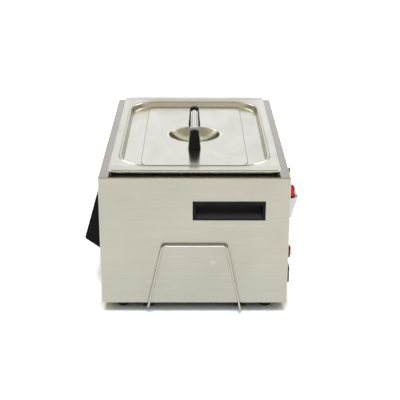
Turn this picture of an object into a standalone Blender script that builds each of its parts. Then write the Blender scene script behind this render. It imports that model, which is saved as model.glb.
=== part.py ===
"""Paraffin wax bath: a countertop stainless-steel bath with a GN 1/1 tank under a lift-off lid.

Metres, +Z up. The control wedge is on the front wall, which faces -Y. The drain tap, the mains inlet and
the rocker switch are on the rear wall, at +Y. The wire lid rest swings on the +X end.
"""

import math

import bmesh
import bpy
from mathutils import Matrix, Vector

MM = 0.001
GAP = 0.3 * MM

# Housing shell, on its feet
BATH_LENGTH = 560 * MM
BATH_WIDTH = 360 * MM
SHELL_HEIGHT = 258.5 * MM
FOOT_HEIGHT = 22.5 * MM
SHEET = 1 * MM
BEND = 2.5 * MM
BASE_RETURN = 56 * MM
DECK_OPENING = (256 * MM, 153.5 * MM, 54 * MM)
HALF_LENGTH = BATH_LENGTH / 2
HALF_WIDTH = BATH_WIDTH / 2
BASE_Z = FOOT_HEIGHT
DECK_Z = BASE_Z + SHELL_HEIGHT

# Base plate, feet and their fasteners
BASE_PLATE_THICK = 1.2 * MM
FOOT_PLACE = (238 * MM, 141 * MM)
FOOT_TOP_RADIUS = 16 * MM
FOOT_TREAD_RADIUS = 10 * MM
BOLT_RADIUS = 2 * MM
BOLT_HOLE_RADIUS = BOLT_RADIUS + GAP
BOLT_HEAD_RADIUS = 3.6 * MM
BOLT_HEAD_HEIGHT = 2 * MM
PEG_RADIUS = 2.5 * MM
PEG_HOLE_RADIUS = PEG_RADIUS + GAP

# Tank
TANK_DEPTH = 148.3 * MM
TANK_TOP_Z = DECK_Z + 6.9 * MM
TANK_LIP_Z = DECK_Z + 2.9 * MM
TANK_FLOOR_Z = TANK_TOP_Z - TANK_DEPTH
TANK_FLANGE = (260.5 * MM, 158 * MM, 12 * MM)
TANK_MOUTH = (251 * MM, 148.5 * MM, 50 * MM)
TANK_TAPER = 6 * MM
TANK_FLOOR_RADIUS = 12 * MM
SEAL_WIDTH = 3.2 * MM
INSULATION_THICK = 6 * MM
DRAIN_X = -150 * MM
DRAIN_Y = 110 * MM
DRAIN_BORE = 6 * MM
STUB_RADIUS = 8 * MM
STUB_LENGTH = 16 * MM

# Lid
LID_HALF_LENGTH = 265 * MM
LID_HALF_WIDTH = 162.5 * MM
LID_SHEET = 0.9 * MM
LID_RIM_Z = DECK_Z + 10 * MM
LID_LIP_Z = LID_RIM_Z - 4 * MM
LID_RECESS = (228 * MM, 143.5 * MM, 58.5 * MM)
LID_RECESS_DEPTH = 13 * MM
LID_PANEL = (207.5 * MM, 103.5 * MM, 27 * MM)
LID_PANEL_RISE = 2 * MM
WELL_RADIUS = 56.5 * MM
WELL_DEPTH = 24 * MM
WELL_MOUTH_RADIUS = WELL_RADIUS - 2 * MM
PANEL_Z = LID_RIM_Z - LID_RECESS_DEPTH + LID_PANEL_RISE

# Lid handle
HANDLE_FOOT_X = 87.5 * MM
HANDLE_FOOT_HEIGHT = 39 * MM
# Half length, half width and corner radius in mm, and the height as a share of the foot's
HANDLE_FOOT_RINGS = [
    (9, 4.5, 4.4, 1), (13, 7.4, 7, 0.97), (15, 8.6, 7.6, 0.88), (16.2, 9.4, 7, 0.68),
    (18.6, 10.4, 6, 0.4), (20.6, 12, 5.2, 0.14), (21.5, 13, 5, 0.03), (21.5, 13, 5, 0),
]
HANDLE_BAR_RADIUS = 8 * MM
HANDLE_BAR_Z = PANEL_Z + 27 * MM
HANDLE_BAR_HALF = 92 * MM

# Carry handles, each a cup let into an end wall
CUP_Y = 65.3 * MM
CUP_Z = BASE_Z + 192.7 * MM
CUP_FLANGE = (137.4 * MM, 37.2 * MM, 1.7 * MM)
CUP_BODY = (133.6 * MM, 33.4 * MM, 19.5 * MM)
CUP_MOUTH = (126 * MM, 26.4 * MM)
CUP_MOUTH_DROP = 1 * MM
CUP_WAIST = (125 * MM, 25.6 * MM)
CUP_WAIST_RISE = 2 * MM
CUP_BACK = (121 * MM, 16.5 * MM)
CUP_BACK_RISE = 6.3 * MM

# Wire lid rest
WIRE_RADIUS = 2 * MM
WIRE_X = HALF_LENGTH + 5 * MM
WIRE_TOP_Z = BASE_Z + 123.5 * MM
WIRE_TOP_HALF = 61 * MM
WIRE_FOOT_HALF = 90 * MM
WIRE_LOW_ELBOW_Z = 8 * MM
WIRE_PIVOT_X = 265 * MM
WIRE_PIVOT_Z = 15.7 * MM
WIRE_BEND = 7 * MM
CLIP = (15 * MM, 22 * MM, 10 * MM)
CLIP_Y = 89 * MM

# Control wedge on the front wall
WEDGE_LENGTH = 340 * MM
WEDGE_TOP_Z = 245.5 * MM
WEDGE_TIP_Y = -221.5 * MM
WEDGE_TIP_Z = 113 * MM
WEDGE_BOTTOM_Z = 83 * MM
WEDGE_WALL = 3.5 * MM
WEDGE_TIP_RADIUS = 6 * MM
WEDGE_BACK_Y = -HALF_WIDTH - GAP
WEDGE_TOP_Y = WEDGE_BACK_Y - 1.7 * MM
FACE_TILT = math.atan2(WEDGE_TOP_Y - WEDGE_TIP_Y, WEDGE_TOP_Z - WEDGE_TIP_Z)
FACE_Z = 170 * MM
FACE_Y = WEDGE_TOP_Y - (WEDGE_TOP_Z - FACE_Z) * math.tan(FACE_TILT)
FASCIA = (210 * MM, 76 * MM, 1.6 * MM)
FASCIA_SINK = 0.3 * MM
WINDOW = (64 * MM, 26 * MM)
WINDOW_Y = 14 * MM
BUTTON_NAMES = ["power", "set", "down", "up", "timer"]
BUTTON_PITCH = 36 * MM
BUTTON_Y = -20 * MM
BUTTON_RADIUS = 6 * MM
BUTTON_TRAVEL = 1.2 * MM
BOARD_DEPTH = 10.4 * MM
WEDGE_PEGS = [(157 * MM, 125 * MM), (157 * MM, 200 * MM)]

# Rocker switch and mains inlet on the rear wall
SWITCH_X = 261 * MM
SWITCH_Z = BASE_Z + 102.6 * MM
SWITCH_FRAME = (15 * MM, 21 * MM, 4 * MM)
SWITCH_BODY = (12.8 * MM, 18.8 * MM, 18 * MM)
SWITCH_WELL = (10.8 * MM, 16.8 * MM)
ROCKER_HALF = 7.2 * MM
ROCKER_WIDTH = 10 * MM
ROCKER_AXIS_Y = 182 * MM
ROCKER_TILT = math.radians(12)
INLET_X = 255 * MM
INLET_Z = BASE_Z + 56 * MM
INLET_FLANGE = (30 * MM, 31 * MM, 3.4 * MM)
INLET_BODY = (27 * MM, 28.6 * MM, 25 * MM)
SOCKET = (24.4 * MM, 15.2 * MM, 16.5 * MM)
SOCKET_Z = INLET_Z - 5.2 * MM
DRAWER_Z = INLET_Z + 8.2 * MM
DRAWER_SLOT = (22 * MM, 7.6 * MM, 24 * MM)
DRAWER_TAB = (24 * MM, 1.6 * MM, 9.6 * MM)
TAB_PROUD = 0.4 * MM
FUSE_RADIUS = 2.6 * MM
FUSE_LENGTH = 20 * MM

# Drain tap on the rear wall
TAP_Y = 221 * MM
TAP_RADIUS = 22 * MM
SHANK_Z = 73 * MM
SHANK_RADIUS = 8 * MM
SHANK_START_Y = 150 * MM
SPOUT_END_Z = 30.6 * MM
TAP_TOP_Z = 86.1 * MM
BONNET_TOP_Z = 109.5 * MM
BONNET_RADIUS = 15.5 * MM
LEVER_PIVOT_Z = 102 * MM
LEVER_TOP_Z = 153 * MM
LEVER_WIDTH = 8.6 * MM
LEVER_LEAN = math.radians(2)
HOSE_RADIUS = 11 * MM
HOSE_WALL = 2.1 * MM
HOSE_END_Y = 168 * MM

# Inside the base
POWER_BOARD = (120 * MM, 80 * MM, 1.6 * MM)
POWER_BOARD_PLACE = (150 * MM, -70 * MM)
STANDOFF_HEIGHT = 8 * MM
HEATER = (400 * MM, 206 * MM, 2 * MM)
HEATER_Y = -15 * MM

SIDES = 24
CORNER_STEPS = 6
MERGE = 0.01 * MM

FINISHES = {
    "stainless": ((0.62, 0.60, 0.55), 0.32, 1.0),
    "bright_steel": ((0.80, 0.80, 0.78), 0.15, 1.0),
    "zinc": ((0.60, 0.60, 0.62), 0.40, 1.0),
    "brass": ((0.70, 0.52, 0.22), 0.35, 1.0),
    "black_plastic": ((0.02, 0.02, 0.022), 0.45, 0.0),
    "gloss_black": ((0.01, 0.01, 0.011), 0.12, 0.0),
    "black_rubber": ((0.02, 0.02, 0.02), 0.75, 0.0),
    "red_plastic": ((0.62, 0.01, 0.015), 0.35, 0.0),
    "red_lens": ((0.75, 0.02, 0.02), 0.15, 0.0),
    "grey_plastic": ((0.30, 0.31, 0.32), 0.5, 0.0),
    "smoked_lens": ((0.03, 0.01, 0.01), 0.08, 0.0),
    "circuit_board": ((0.02, 0.16, 0.06), 0.45, 0.0),
    "silicone": ((0.75, 0.73, 0.68), 0.6, 0.0),
    "felt": ((0.70, 0.68, 0.60), 0.95, 0.0),
    "orange_mat": ((0.65, 0.20, 0.05), 0.6, 0.0),
    "glass": ((0.85, 0.88, 0.88), 0.05, 0.0),
    "wire_brown": ((0.20, 0.08, 0.03), 0.5, 0.0),
    "wire_white": ((0.75, 0.75, 0.72), 0.5, 0.0),
}

for old in list(bpy.data.objects):
    bpy.data.objects.remove(old)

PARTS = bpy.data.collections.new("paraffin_wax_bath")
CUTTERS = bpy.data.collections.new("cutters")
CUTTERS.hide_render = True
for collection in (PARTS, CUTTERS):
    bpy.context.scene.collection.children.link(collection)


# ---------------------------------------------------------------- objects and modifiers


def add_empty(name, location, rotation=(0, 0, 0), parent=None):
    empty = bpy.data.objects.new(name, None)
    empty.location = location
    empty.rotation_euler = rotation
    empty.parent = parent
    PARTS.objects.link(empty)
    return empty


ROOT = add_empty("bath_origin", (0, 0, 0))
FACE = add_empty("wedge_face", (0, FACE_Y, FACE_Z), (math.pi / 2 - FACE_TILT, 0, 0), ROOT)


def material_for(name, finish):
    colour, roughness, metallic = FINISHES[finish]
    material = bpy.data.materials.new(name + "_" + finish)
    material.use_nodes = True
    shader = material.node_tree.nodes["Principled BSDF"]
    shader.inputs["Base Color"].default_value = (*colour, 1)
    shader.inputs["Roughness"].default_value = roughness
    shader.inputs["Metallic"].default_value = metallic
    return material


def place(name, data, finish, location=(0, 0, 0), rotation=(0, 0, 0), parent=ROOT):
    """A part when it has a finish, and otherwise a cutter."""
    obj = bpy.data.objects.new(name, data)
    obj.location = location
    obj.rotation_euler = rotation
    obj.parent = parent
    if finish:
        PARTS.objects.link(obj)
        data.materials.append(material_for(name, finish))
    else:
        CUTTERS.objects.link(obj)
        obj.hide_render = True
        obj.display_type = "WIRE"
    return obj


def shade(mesh):
    mesh.shade_smooth()
    mesh.set_sharp_from_angle(angle=math.radians(35))


def mesh_of(name, bm):
    mesh = bpy.data.meshes.new(name)
    bm.to_mesh(mesh)
    bm.free()
    shade(mesh)
    return mesh


def boolean(obj, other, operation):
    modifier = obj.modifiers.new(other.name, "BOOLEAN")
    modifier.operation = operation
    modifier.solver = "EXACT"
    modifier.object = other
    return obj


def cut(obj, *cutters):
    for cutter in cutters:
        boolean(obj, cutter, "DIFFERENCE")
    return obj


def join(obj, *others):
    for other in others:
        boolean(obj, other, "UNION")
    return obj


def bevel(obj, width, segments=2):
    modifier = obj.modifiers.new("rounded_edges", "BEVEL")
    modifier.width = width
    modifier.segments = segments
    modifier.limit_method = "ANGLE"
    modifier.angle_limit = math.radians(40)
    return obj


def thicken(obj, thickness):
    """Gives an open surface its sheet, on the side that its faces point away from."""
    modifier = obj.modifiers.new("sheet", "SOLIDIFY")
    modifier.thickness = thickness
    modifier.offset = -1
    modifier.use_even_offset = True
    return obj


def frozen(obj):
    """The evaluated object as a plain welded mesh, and the object itself removed."""
    bpy.context.view_layer.update()
    graph = bpy.context.evaluated_depsgraph_get()
    mesh = bpy.data.meshes.new_from_object(obj.evaluated_get(graph))
    bm = bmesh.new()
    bm.from_mesh(mesh)
    bmesh.ops.remove_doubles(bm, verts=bm.verts, dist=MERGE)
    bm.to_mesh(mesh)
    bm.free()
    bpy.data.objects.remove(obj)
    mesh.materials.clear()
    shade(mesh)
    return mesh


# ---------------------------------------------------------------- shapes


def box(name, size, finish=None, location=(0, 0, 0), rotation=(0, 0, 0), parent=ROOT):
    bm = bmesh.new()
    bmesh.ops.create_cube(bm, size=1)
    bmesh.ops.scale(bm, vec=size, verts=bm.verts)
    mesh = mesh_of(name, bm)
    mesh.shade_flat()
    return place(name, mesh, finish, location, rotation, parent)


def turn_to(axis):
    """The rotation that carries +Z to the named axis."""
    return Vector((0, 0, 1)).rotation_difference(Vector(axis)).to_euler()


def rod(name, radius, length, finish=None, location=(0, 0, 0), axis=(0, 0, 1), parent=ROOT, sides=SIDES):
    """A cylinder centred on its location."""
    bm = bmesh.new()
    bmesh.ops.create_cone(
        bm, cap_ends=True, segments=sides, radius1=radius, radius2=radius, depth=length
    )
    return place(name, mesh_of(name, bm), finish, location, turn_to(axis), parent)


def drills(name, radius, length, centres, axis=(0, 0, 1), sides=12):
    """Equal cylinders in one cutter."""
    bm = bmesh.new()
    turn = turn_to(axis).to_matrix().to_4x4()
    for centre in centres:
        bmesh.ops.create_cone(
            bm, cap_ends=True, segments=sides, radius1=radius, radius2=radius, depth=length,
            matrix=Matrix.Translation(centre) @ turn,
        )
    return place(name, mesh_of(name, bm), None)


def turned(
    name, profile, finish=None, location=(0, 0, 0), axis=(0, 0, 1), closed=False, sides=SIDES, parent=ROOT
):
    """(radius, height) points, down the outer side from the top, turned about the local Z axis."""
    mesh = bpy.data.meshes.new(name)
    last = len(profile) - 1
    edges = [(i, i + 1) for i in range(last)]
    if closed:
        edges.append((last, 0))
    mesh.from_pydata([(radius, 0, height) for radius, height in profile], edges, [])
    obj = place(name, mesh, finish, location, turn_to(axis), parent)
    modifier = obj.modifiers.new("turn", "SCREW")
    modifier.steps = sides
    modifier.render_steps = sides
    modifier.use_merge_vertices = True
    modifier.merge_threshold = MERGE
    modifier.use_smooth_shade = True
    return obj


def screw(name, location, length, finish="zinc"):
    """A pan-head screw that points up. Its location is the underside of its head."""
    profile = [
        (0, length), (BOLT_RADIUS, length), (BOLT_RADIUS, 0), (BOLT_HEAD_RADIUS, 0),
        (BOLT_HEAD_RADIUS, -BOLT_HEAD_HEIGHT * 0.5), (BOLT_HEAD_RADIUS * 0.7, -BOLT_HEAD_HEIGHT),
        (0, -BOLT_HEAD_HEIGHT),
    ]
    return turned(name, profile, finish, location, sides=10)


def outline_prism(
    name, points, thickness, finish=None, location=(0, 0, 0), rotation=(0, 0, 0), parent=ROOT
):
    """A flat outline in local XY, thickened equally to both sides."""
    curve = bpy.data.curves.new(name, "CURVE")
    curve.dimensions = "2D"
    curve.fill_mode = "BOTH"
    curve.extrude = thickness / 2
    spline = curve.splines.new("POLY")
    spline.points.add(len(points) - 1)
    for point, (x, y) in zip(spline.points, points):
        point.co = (x, y, 0, 1)
    spline.use_cyclic_u = True
    flat = place(name + "_outline", curve, None)
    return place(name, frozen(flat), finish, location, rotation, parent)


def wire_curve(name, points, radius, resolution, capped):
    curve = bpy.data.curves.new(name, "CURVE")
    curve.dimensions = "3D"
    curve.bevel_depth = radius
    curve.bevel_resolution = resolution
    curve.use_fill_caps = capped
    spline = curve.splines.new("POLY")
    spline.points.add(len(points) - 1)
    for point, where in zip(spline.points, points):
        point.co = (*where, 1)
    return curve


def with_bends(corners, radius, steps=4):
    """The path through the corners, with each inner corner rounded to the radius."""
    points = [Vector(corners[0])]
    for before, corner, after in zip(corners, corners[1:], corners[2:]):
        corner = Vector(corner)
        back = (Vector(before) - corner).normalized()
        forward = (Vector(after) - corner).normalized()
        half_angle = back.angle(forward) / 2
        reach = radius / math.tan(half_angle)
        middle = (back + forward).normalized() * radius / math.sin(half_angle)
        centre = corner + middle
        start = corner + back * reach - centre
        end = corner + forward * reach - centre
        for step in range(steps + 1):
            points.append(centre + start.slerp(end, step / steps) * radius)
    points.append(Vector(corners[-1]))
    return points


def rounded_ring(half_x, half_y, radius, z, centre_x=0, centre_y=0):
    """A rounded rectangle, counter-clockwise from above, CORNER_STEPS + 1 points to a corner."""
    points = []
    for corner, (side_x, side_y) in enumerate([(1, 1), (-1, 1), (-1, -1), (1, -1)]):
        for step in range(CORNER_STEPS + 1):
            angle = math.pi / 2 * (corner + step / CORNER_STEPS)
            x = centre_x + side_x * (half_x - radius) + radius * math.cos(angle)
            y = centre_y + side_y * (half_y - radius) + radius * math.sin(angle)
            points.append((x, y, z))
    return points


def round_ring(radius, z):
    """A circle with as many points as a rounded rectangle."""
    count = 4 * (CORNER_STEPS + 1)
    turns = [2 * math.pi * (index + 0.5) / count for index in range(count)]
    return [(radius * math.cos(turn), radius * math.sin(turn), z) for turn in turns]


def lofted(
    name, rings, finish, cap_first=False, cap_last=False, location=(0, 0, 0), rotation=(0, 0, 0), parent=ROOT
):
    """A skin over the rings. Its faces point up where the rings grow, and outwards where they go down."""
    bm = bmesh.new()
    loops = [[bm.verts.new(point) for point in ring] for ring in rings]
    count = len(loops[0])
    for inner, outer in zip(loops, loops[1:]):
        for index in range(count):
            following = (index + 1) % count
            bm.faces.new((inner[index], outer[index], outer[following], inner[following]))
    if cap_first:
        bm.faces.new(loops[0])
    if cap_last:
        bm.faces.new(reversed(loops[-1]))
    return place(name, mesh_of(name, bm), finish, location, rotation, parent)


def inset(ring, amount):
    half_x, half_y, radius = ring
    return half_x - amount, half_y - amount, max(radius - amount, 0.4 * MM)


def four_places(x, y, z):
    return [(side_x * x, side_y * y, z) for side_x in (1, -1) for side_y in (1, -1)]


# ---------------------------------------------------------------- housing and base


def wedge_peg_places(y):
    return [(side * x, y, z) for x, z in WEDGE_PEGS for side in (1, -1)]


def clip_peg_places(z):
    return [(WIRE_PIVOT_X, side * CLIP_Y, z) for side in (1, -1)]


def make_housing():
    outer = (HALF_LENGTH, HALF_WIDTH, BEND)
    rings = [
        rounded_ring(*DECK_OPENING, DECK_Z),
        rounded_ring(*inset(outer, BEND), DECK_Z),
        rounded_ring(*inset(outer, BEND * 0.29), DECK_Z - BEND * 0.29),
        rounded_ring(*outer, DECK_Z - BEND),
        rounded_ring(*outer, BASE_Z + BEND),
        rounded_ring(*inset(outer, BEND * 0.29), BASE_Z + BEND * 0.29),
        rounded_ring(*inset(outer, BEND), BASE_Z),
        rounded_ring(*inset(outer, BASE_RETURN), BASE_Z),
    ]
    shell = thicken(lofted("housing_shell", rings, "stainless"), SHEET)
    cup_hole = (30 * MM, CUP_BODY[0] + 2 * GAP, CUP_BODY[1] + 2 * GAP)
    for side in (1, -1):
        where = (side * HALF_LENGTH, side * CUP_Y, CUP_Z)
        cut(shell, box(f"cup_hole_{side}", cup_hole, location=where))
    switch_hole = (SWITCH_BODY[0] + 2 * GAP, 10 * MM, SWITCH_BODY[1] + 2 * GAP)
    inlet_hole = (INLET_BODY[0] + 2 * GAP, 10 * MM, INLET_BODY[1] + 2 * GAP)
    cable_hole = (60 * MM, 10 * MM, 24 * MM)
    cut(
        shell,
        box("switch_hole", switch_hole, location=(SWITCH_X, HALF_WIDTH, SWITCH_Z)),
        box("inlet_hole", inlet_hole, location=(INLET_X, HALF_WIDTH, INLET_Z)),
        box("cable_hole", cable_hole, location=(0, -HALF_WIDTH, FACE_Z)),
        rod(
            "tap_hole", SHANK_RADIUS + GAP, 10 * MM,
            location=(DRAIN_X, HALF_WIDTH, SHANK_Z), axis=(0, 1, 0),
        ),
        drills("wedge_holes", PEG_HOLE_RADIUS, 8 * MM, wedge_peg_places(-HALF_WIDTH), axis=(0, 1, 0)),
        drills("foot_holes_in_shell", BOLT_HOLE_RADIUS, 8 * MM, four_places(*FOOT_PLACE, BASE_Z)),
        drills("clip_holes_in_shell", PEG_HOLE_RADIUS, 8 * MM, clip_peg_places(BASE_Z)),
    )


def make_base():
    plate_z = BASE_Z + SHEET + GAP + BASE_PLATE_THICK / 2
    size = (BATH_LENGTH - 4 * MM, BATH_WIDTH - 4 * MM, BASE_PLATE_THICK)
    plate = box("base_plate", size, "stainless", (0, 0, plate_z))
    nut_height = 4 * MM
    nut_radius = 4.5 * MM
    for index, (x, y, z) in enumerate(four_places(*FOOT_PLACE, plate_z + nut_height / 2)):
        join(plate, rod(f"pressed_nut_{index}", nut_radius, nut_height, location=(x, y, z), sides=6))
    cut(
        plate,
        drills("foot_holes_in_plate", BOLT_HOLE_RADIUS, 16 * MM, four_places(*FOOT_PLACE, plate_z)),
        drills("clip_holes_in_plate", PEG_HOLE_RADIUS, 8 * MM, clip_peg_places(plate_z)),
    )

    top = BASE_Z - GAP
    recess_top = 16 * MM
    profile = [
        (BOLT_HOLE_RADIUS, top), (FOOT_TOP_RADIUS, top), (FOOT_TOP_RADIUS, top - 5 * MM),
        (FOOT_TREAD_RADIUS + 1 * MM, 1 * MM), (FOOT_TREAD_RADIUS, 0), (5 * MM, 0),
        (5 * MM, recess_top), (BOLT_HOLE_RADIUS, recess_top),
    ]
    head_z = recess_top - GAP
    bolt_length = plate_z + nut_height + 1 * MM - head_z
    for number, (x, y, z) in enumerate(four_places(*FOOT_PLACE, 0), 1):
        turned(f"foot_{number}", profile, "black_rubber", (x, y, z), closed=True, sides=20)
        screw(f"foot_bolt_{number}", (x, y, head_z), bolt_length)


# ---------------------------------------------------------------- tank and what is round it


def tank_ring(inward, z, radius_change=0.0):
    half_x, half_y, radius = TANK_MOUTH
    return rounded_ring(half_x - inward, half_y - inward, radius - inward + radius_change, z)


def make_tank():
    lip = TANK_FLANGE
    rings = [
        tank_ring(TANK_TAPER + TANK_FLOOR_RADIUS, TANK_FLOOR_Z),
        tank_ring(TANK_TAPER + TANK_FLOOR_RADIUS * 0.29, TANK_FLOOR_Z + TANK_FLOOR_RADIUS * 0.29),
        tank_ring(TANK_TAPER, TANK_FLOOR_Z + TANK_FLOOR_RADIUS),
        tank_ring(0, TANK_TOP_Z - 3 * MM),
        tank_ring(-0.8 * MM, TANK_TOP_Z - 0.8 * MM),
        tank_ring(-3 * MM, TANK_TOP_Z),
        rounded_ring(*inset(lip, 1.2 * MM), TANK_TOP_Z),
        rounded_ring(*lip, TANK_TOP_Z - 1.2 * MM),
        rounded_ring(*lip, TANK_LIP_Z),
    ]
    tank = thicken(lofted("tank", rings, "stainless", cap_first=True), SHEET)
    stub_z = TANK_FLOOR_Z - SHEET / 2 - STUB_LENGTH / 2
    where = (DRAIN_X, DRAIN_Y, stub_z)
    join(tank, rod("drain_stub", STUB_RADIUS, STUB_LENGTH, location=where))
    cut(tank, rod("drain_bore", DRAIN_BORE, STUB_LENGTH * 2, location=where))

    half_x, half_y, radius = inset(TANK_FLANGE, 0.5 * MM)
    seal_rings = [
        rounded_ring(half_x - SEAL_WIDTH, half_y - SEAL_WIDTH, radius - SEAL_WIDTH, TANK_LIP_Z - GAP),
        rounded_ring(half_x, half_y, radius, TANK_LIP_Z - GAP),
    ]
    thicken(lofted("tank_seal", seal_rings, "black_rubber"), TANK_LIP_Z - DECK_Z - 2 * GAP)

    bottom = TANK_FLOOR_Z + TANK_FLOOR_RADIUS
    top = DECK_Z - 6 * MM
    clear = SHEET + 2 * GAP + INSULATION_THICK
    blanket_rings = [tank_ring(-clear, top), tank_ring(TANK_TAPER - clear, bottom)]
    thicken(lofted("insulation_blanket", blanket_rings, "felt"), INSULATION_THICK)


def make_heater():
    under = TANK_FLOOR_Z - SHEET - GAP
    mat_z = under - HEATER[2] / 2
    heater = box("heater_mat", HEATER, "orange_mat", (0, HEATER_Y, mat_z))
    bevel(heater, 0.8 * MM, 1)

    cutout = [(0, 0), (8 * MM, 0), (8 * MM, -5 * MM), (5 * MM, -8 * MM), (0, -8 * MM)]
    turned("thermal_cutout", cutout, "grey_plastic", (60 * MM, DRAIN_Y, under), sides=16)
    probe_z = under - 3 * MM
    probe_place = (-40 * MM, DRAIN_Y, probe_z)
    rod("temperature_probe", 2.7 * MM, 46 * MM, "bright_steel", probe_place, (1, 0, 0), sides=12)
    bracket_size = (10 * MM, 14 * MM, 9 * MM)
    bracket_z = under - bracket_size[2] / 2
    bracket = box("probe_bracket", bracket_size, "stainless", (-40 * MM, DRAIN_Y, bracket_z))
    cut(
        bracket,
        rod("probe_hole", 3 * MM, 20 * MM, location=probe_place, axis=(1, 0, 0)),
        box("probe_notch", (20 * MM, 3 * MM, 6 * MM), location=(-40 * MM, DRAIN_Y, under)),
    )


# ---------------------------------------------------------------- lid and its handle


def make_lid():
    floor_z = LID_RIM_Z - LID_RECESS_DEPTH
    well_z = PANEL_Z + 0.4 * MM
    recess = LID_RECESS
    panel = LID_PANEL
    outer = (LID_HALF_LENGTH, LID_HALF_WIDTH, 10 * MM)
    # The well is part of a sphere that reaches the panel at the well's mouth.
    sphere = (WELL_MOUTH_RADIUS ** 2 + WELL_DEPTH ** 2) / (2 * WELL_DEPTH)
    sphere_z = PANEL_Z - WELL_DEPTH + sphere
    rings = []
    for share in (0.22, 0.42, 0.6, 0.76, 0.89, 0.99):
        radius = WELL_MOUTH_RADIUS * share
        rings.append(round_ring(radius, sphere_z - math.sqrt(sphere ** 2 - radius ** 2)))
    rings += [
        round_ring(WELL_RADIUS, well_z),
        round_ring(WELL_RADIUS + 4 * MM, PANEL_Z),
        rounded_ring(*panel, PANEL_Z),
        rounded_ring(*inset(panel, -1.5 * MM), floor_z),
        rounded_ring(*inset(recess, 6 * MM), floor_z),
        rounded_ring(*inset(recess, 3.5 * MM), floor_z + 1.5 * MM),
        rounded_ring(*recess, LID_RIM_Z - 2.8 * MM),
        rounded_ring(*inset(recess, -1.4 * MM), LID_RIM_Z - 1.4 * MM),
        rounded_ring(*inset(recess, -4 * MM), LID_RIM_Z - 2.4 * MM),
        rounded_ring(*inset(outer, 1 * MM), LID_RIM_Z),
        rounded_ring(*outer, LID_RIM_Z - 1 * MM),
        rounded_ring(*outer, LID_LIP_Z),
    ]
    lid = thicken(lofted("lid", rings, "stainless", cap_first=True), LID_SHEET)
    holes = [(side * HANDLE_FOOT_X, 0, PANEL_Z) for side in (1, -1)]
    cut(lid, drills("lid_screw_holes", BOLT_HOLE_RADIUS, 8 * MM, holes))


def make_lid_handle():
    bottom = PANEL_Z + GAP
    screw_depth = 12 * MM
    for side, name in ((1, "right"), (-1, "left")):
        centre = side * HANDLE_FOOT_X
        rings = [
            rounded_ring(half_x * MM, half_y * MM, radius * MM, bottom + height * HANDLE_FOOT_HEIGHT, centre)
            for half_x, half_y, radius, height in HANDLE_FOOT_RINGS
        ]
        foot = lofted(f"handle_foot_{name}", rings, "gloss_black", cap_first=True, cap_last=True)
        socket_end = HANDLE_BAR_HALF + GAP
        socket_start = 60 * MM
        screw(f"handle_screw_{name}", (centre, 0, PANEL_Z - LID_SHEET - GAP), screw_depth)
        socket_place = (side * (socket_start + socket_end) / 2, 0, HANDLE_BAR_Z)
        hole_depth = 2 * screw_depth
        cut(
            foot,
            rod(
                f"bar_socket_{name}", HANDLE_BAR_RADIUS + GAP, socket_end - socket_start,
                location=socket_place, axis=(1, 0, 0),
            ),
            rod(
                f"foot_screw_hole_{name}", BOLT_HOLE_RADIUS, hole_depth,
                location=(centre, 0, bottom), sides=12,
            ),
        )
    bar_place = (0, 0, HANDLE_BAR_Z)
    rod("handle_bar", HANDLE_BAR_RADIUS, 2 * HANDLE_BAR_HALF, "bright_steel", bar_place, (1, 0, 0))


# ---------------------------------------------------------------- carry handles and wire lid rest


def make_carry_handles():
    flange_width, flange_height, flange_thick = CUP_FLANGE
    body_width, body_height, body_depth = CUP_BODY
    for side, name in ((1, "right"), (-1, "left")):
        turn = 0 if side == 1 else math.pi
        where = (side * (HALF_LENGTH + GAP), side * CUP_Y, CUP_Z)
        holder = add_empty(f"carry_handle_{name}_place", where, (0, 0, turn), ROOT)
        cup = box(
            f"carry_handle_{name}", (flange_thick, flange_width, flange_height), "black_plastic",
            (flange_thick / 2, 0, 0), parent=holder,
        )
        body = (body_depth + flange_thick / 2, body_width, body_height)
        middle = flange_thick / 2 - body[0] / 2
        join(cup, box(f"cup_body_{name}", body, location=(middle, 0, 0), parent=holder))
        mouth_x = flange_thick + 1 * MM
        waist_x = -body_depth * 0.4
        back_x = -body_depth + 2 * MM
        # The cavity's rings lie in local XY, and a turn about Y stands them up facing out of the wall.
        rings = [
            rounded_ring(CUP_MOUTH[1] / 2, CUP_MOUTH[0] / 2, 2 * MM, mouth_x, CUP_MOUTH_DROP),
            rounded_ring(CUP_MOUTH[1] / 2, CUP_MOUTH[0] / 2, 2 * MM, 0, CUP_MOUTH_DROP),
            rounded_ring(CUP_WAIST[1] / 2, CUP_WAIST[0] / 2, 2.5 * MM, waist_x, -CUP_WAIST_RISE),
            rounded_ring(CUP_BACK[1] / 2, CUP_BACK[0] / 2, 4 * MM, back_x, -CUP_BACK_RISE),
        ]
        cavity = lofted(
            f"cup_cavity_{name}", rings, None, cap_first=True, cap_last=True,
            rotation=(0, math.pi / 2, 0), parent=holder,
        )
        cut(cup, cavity)


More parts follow.
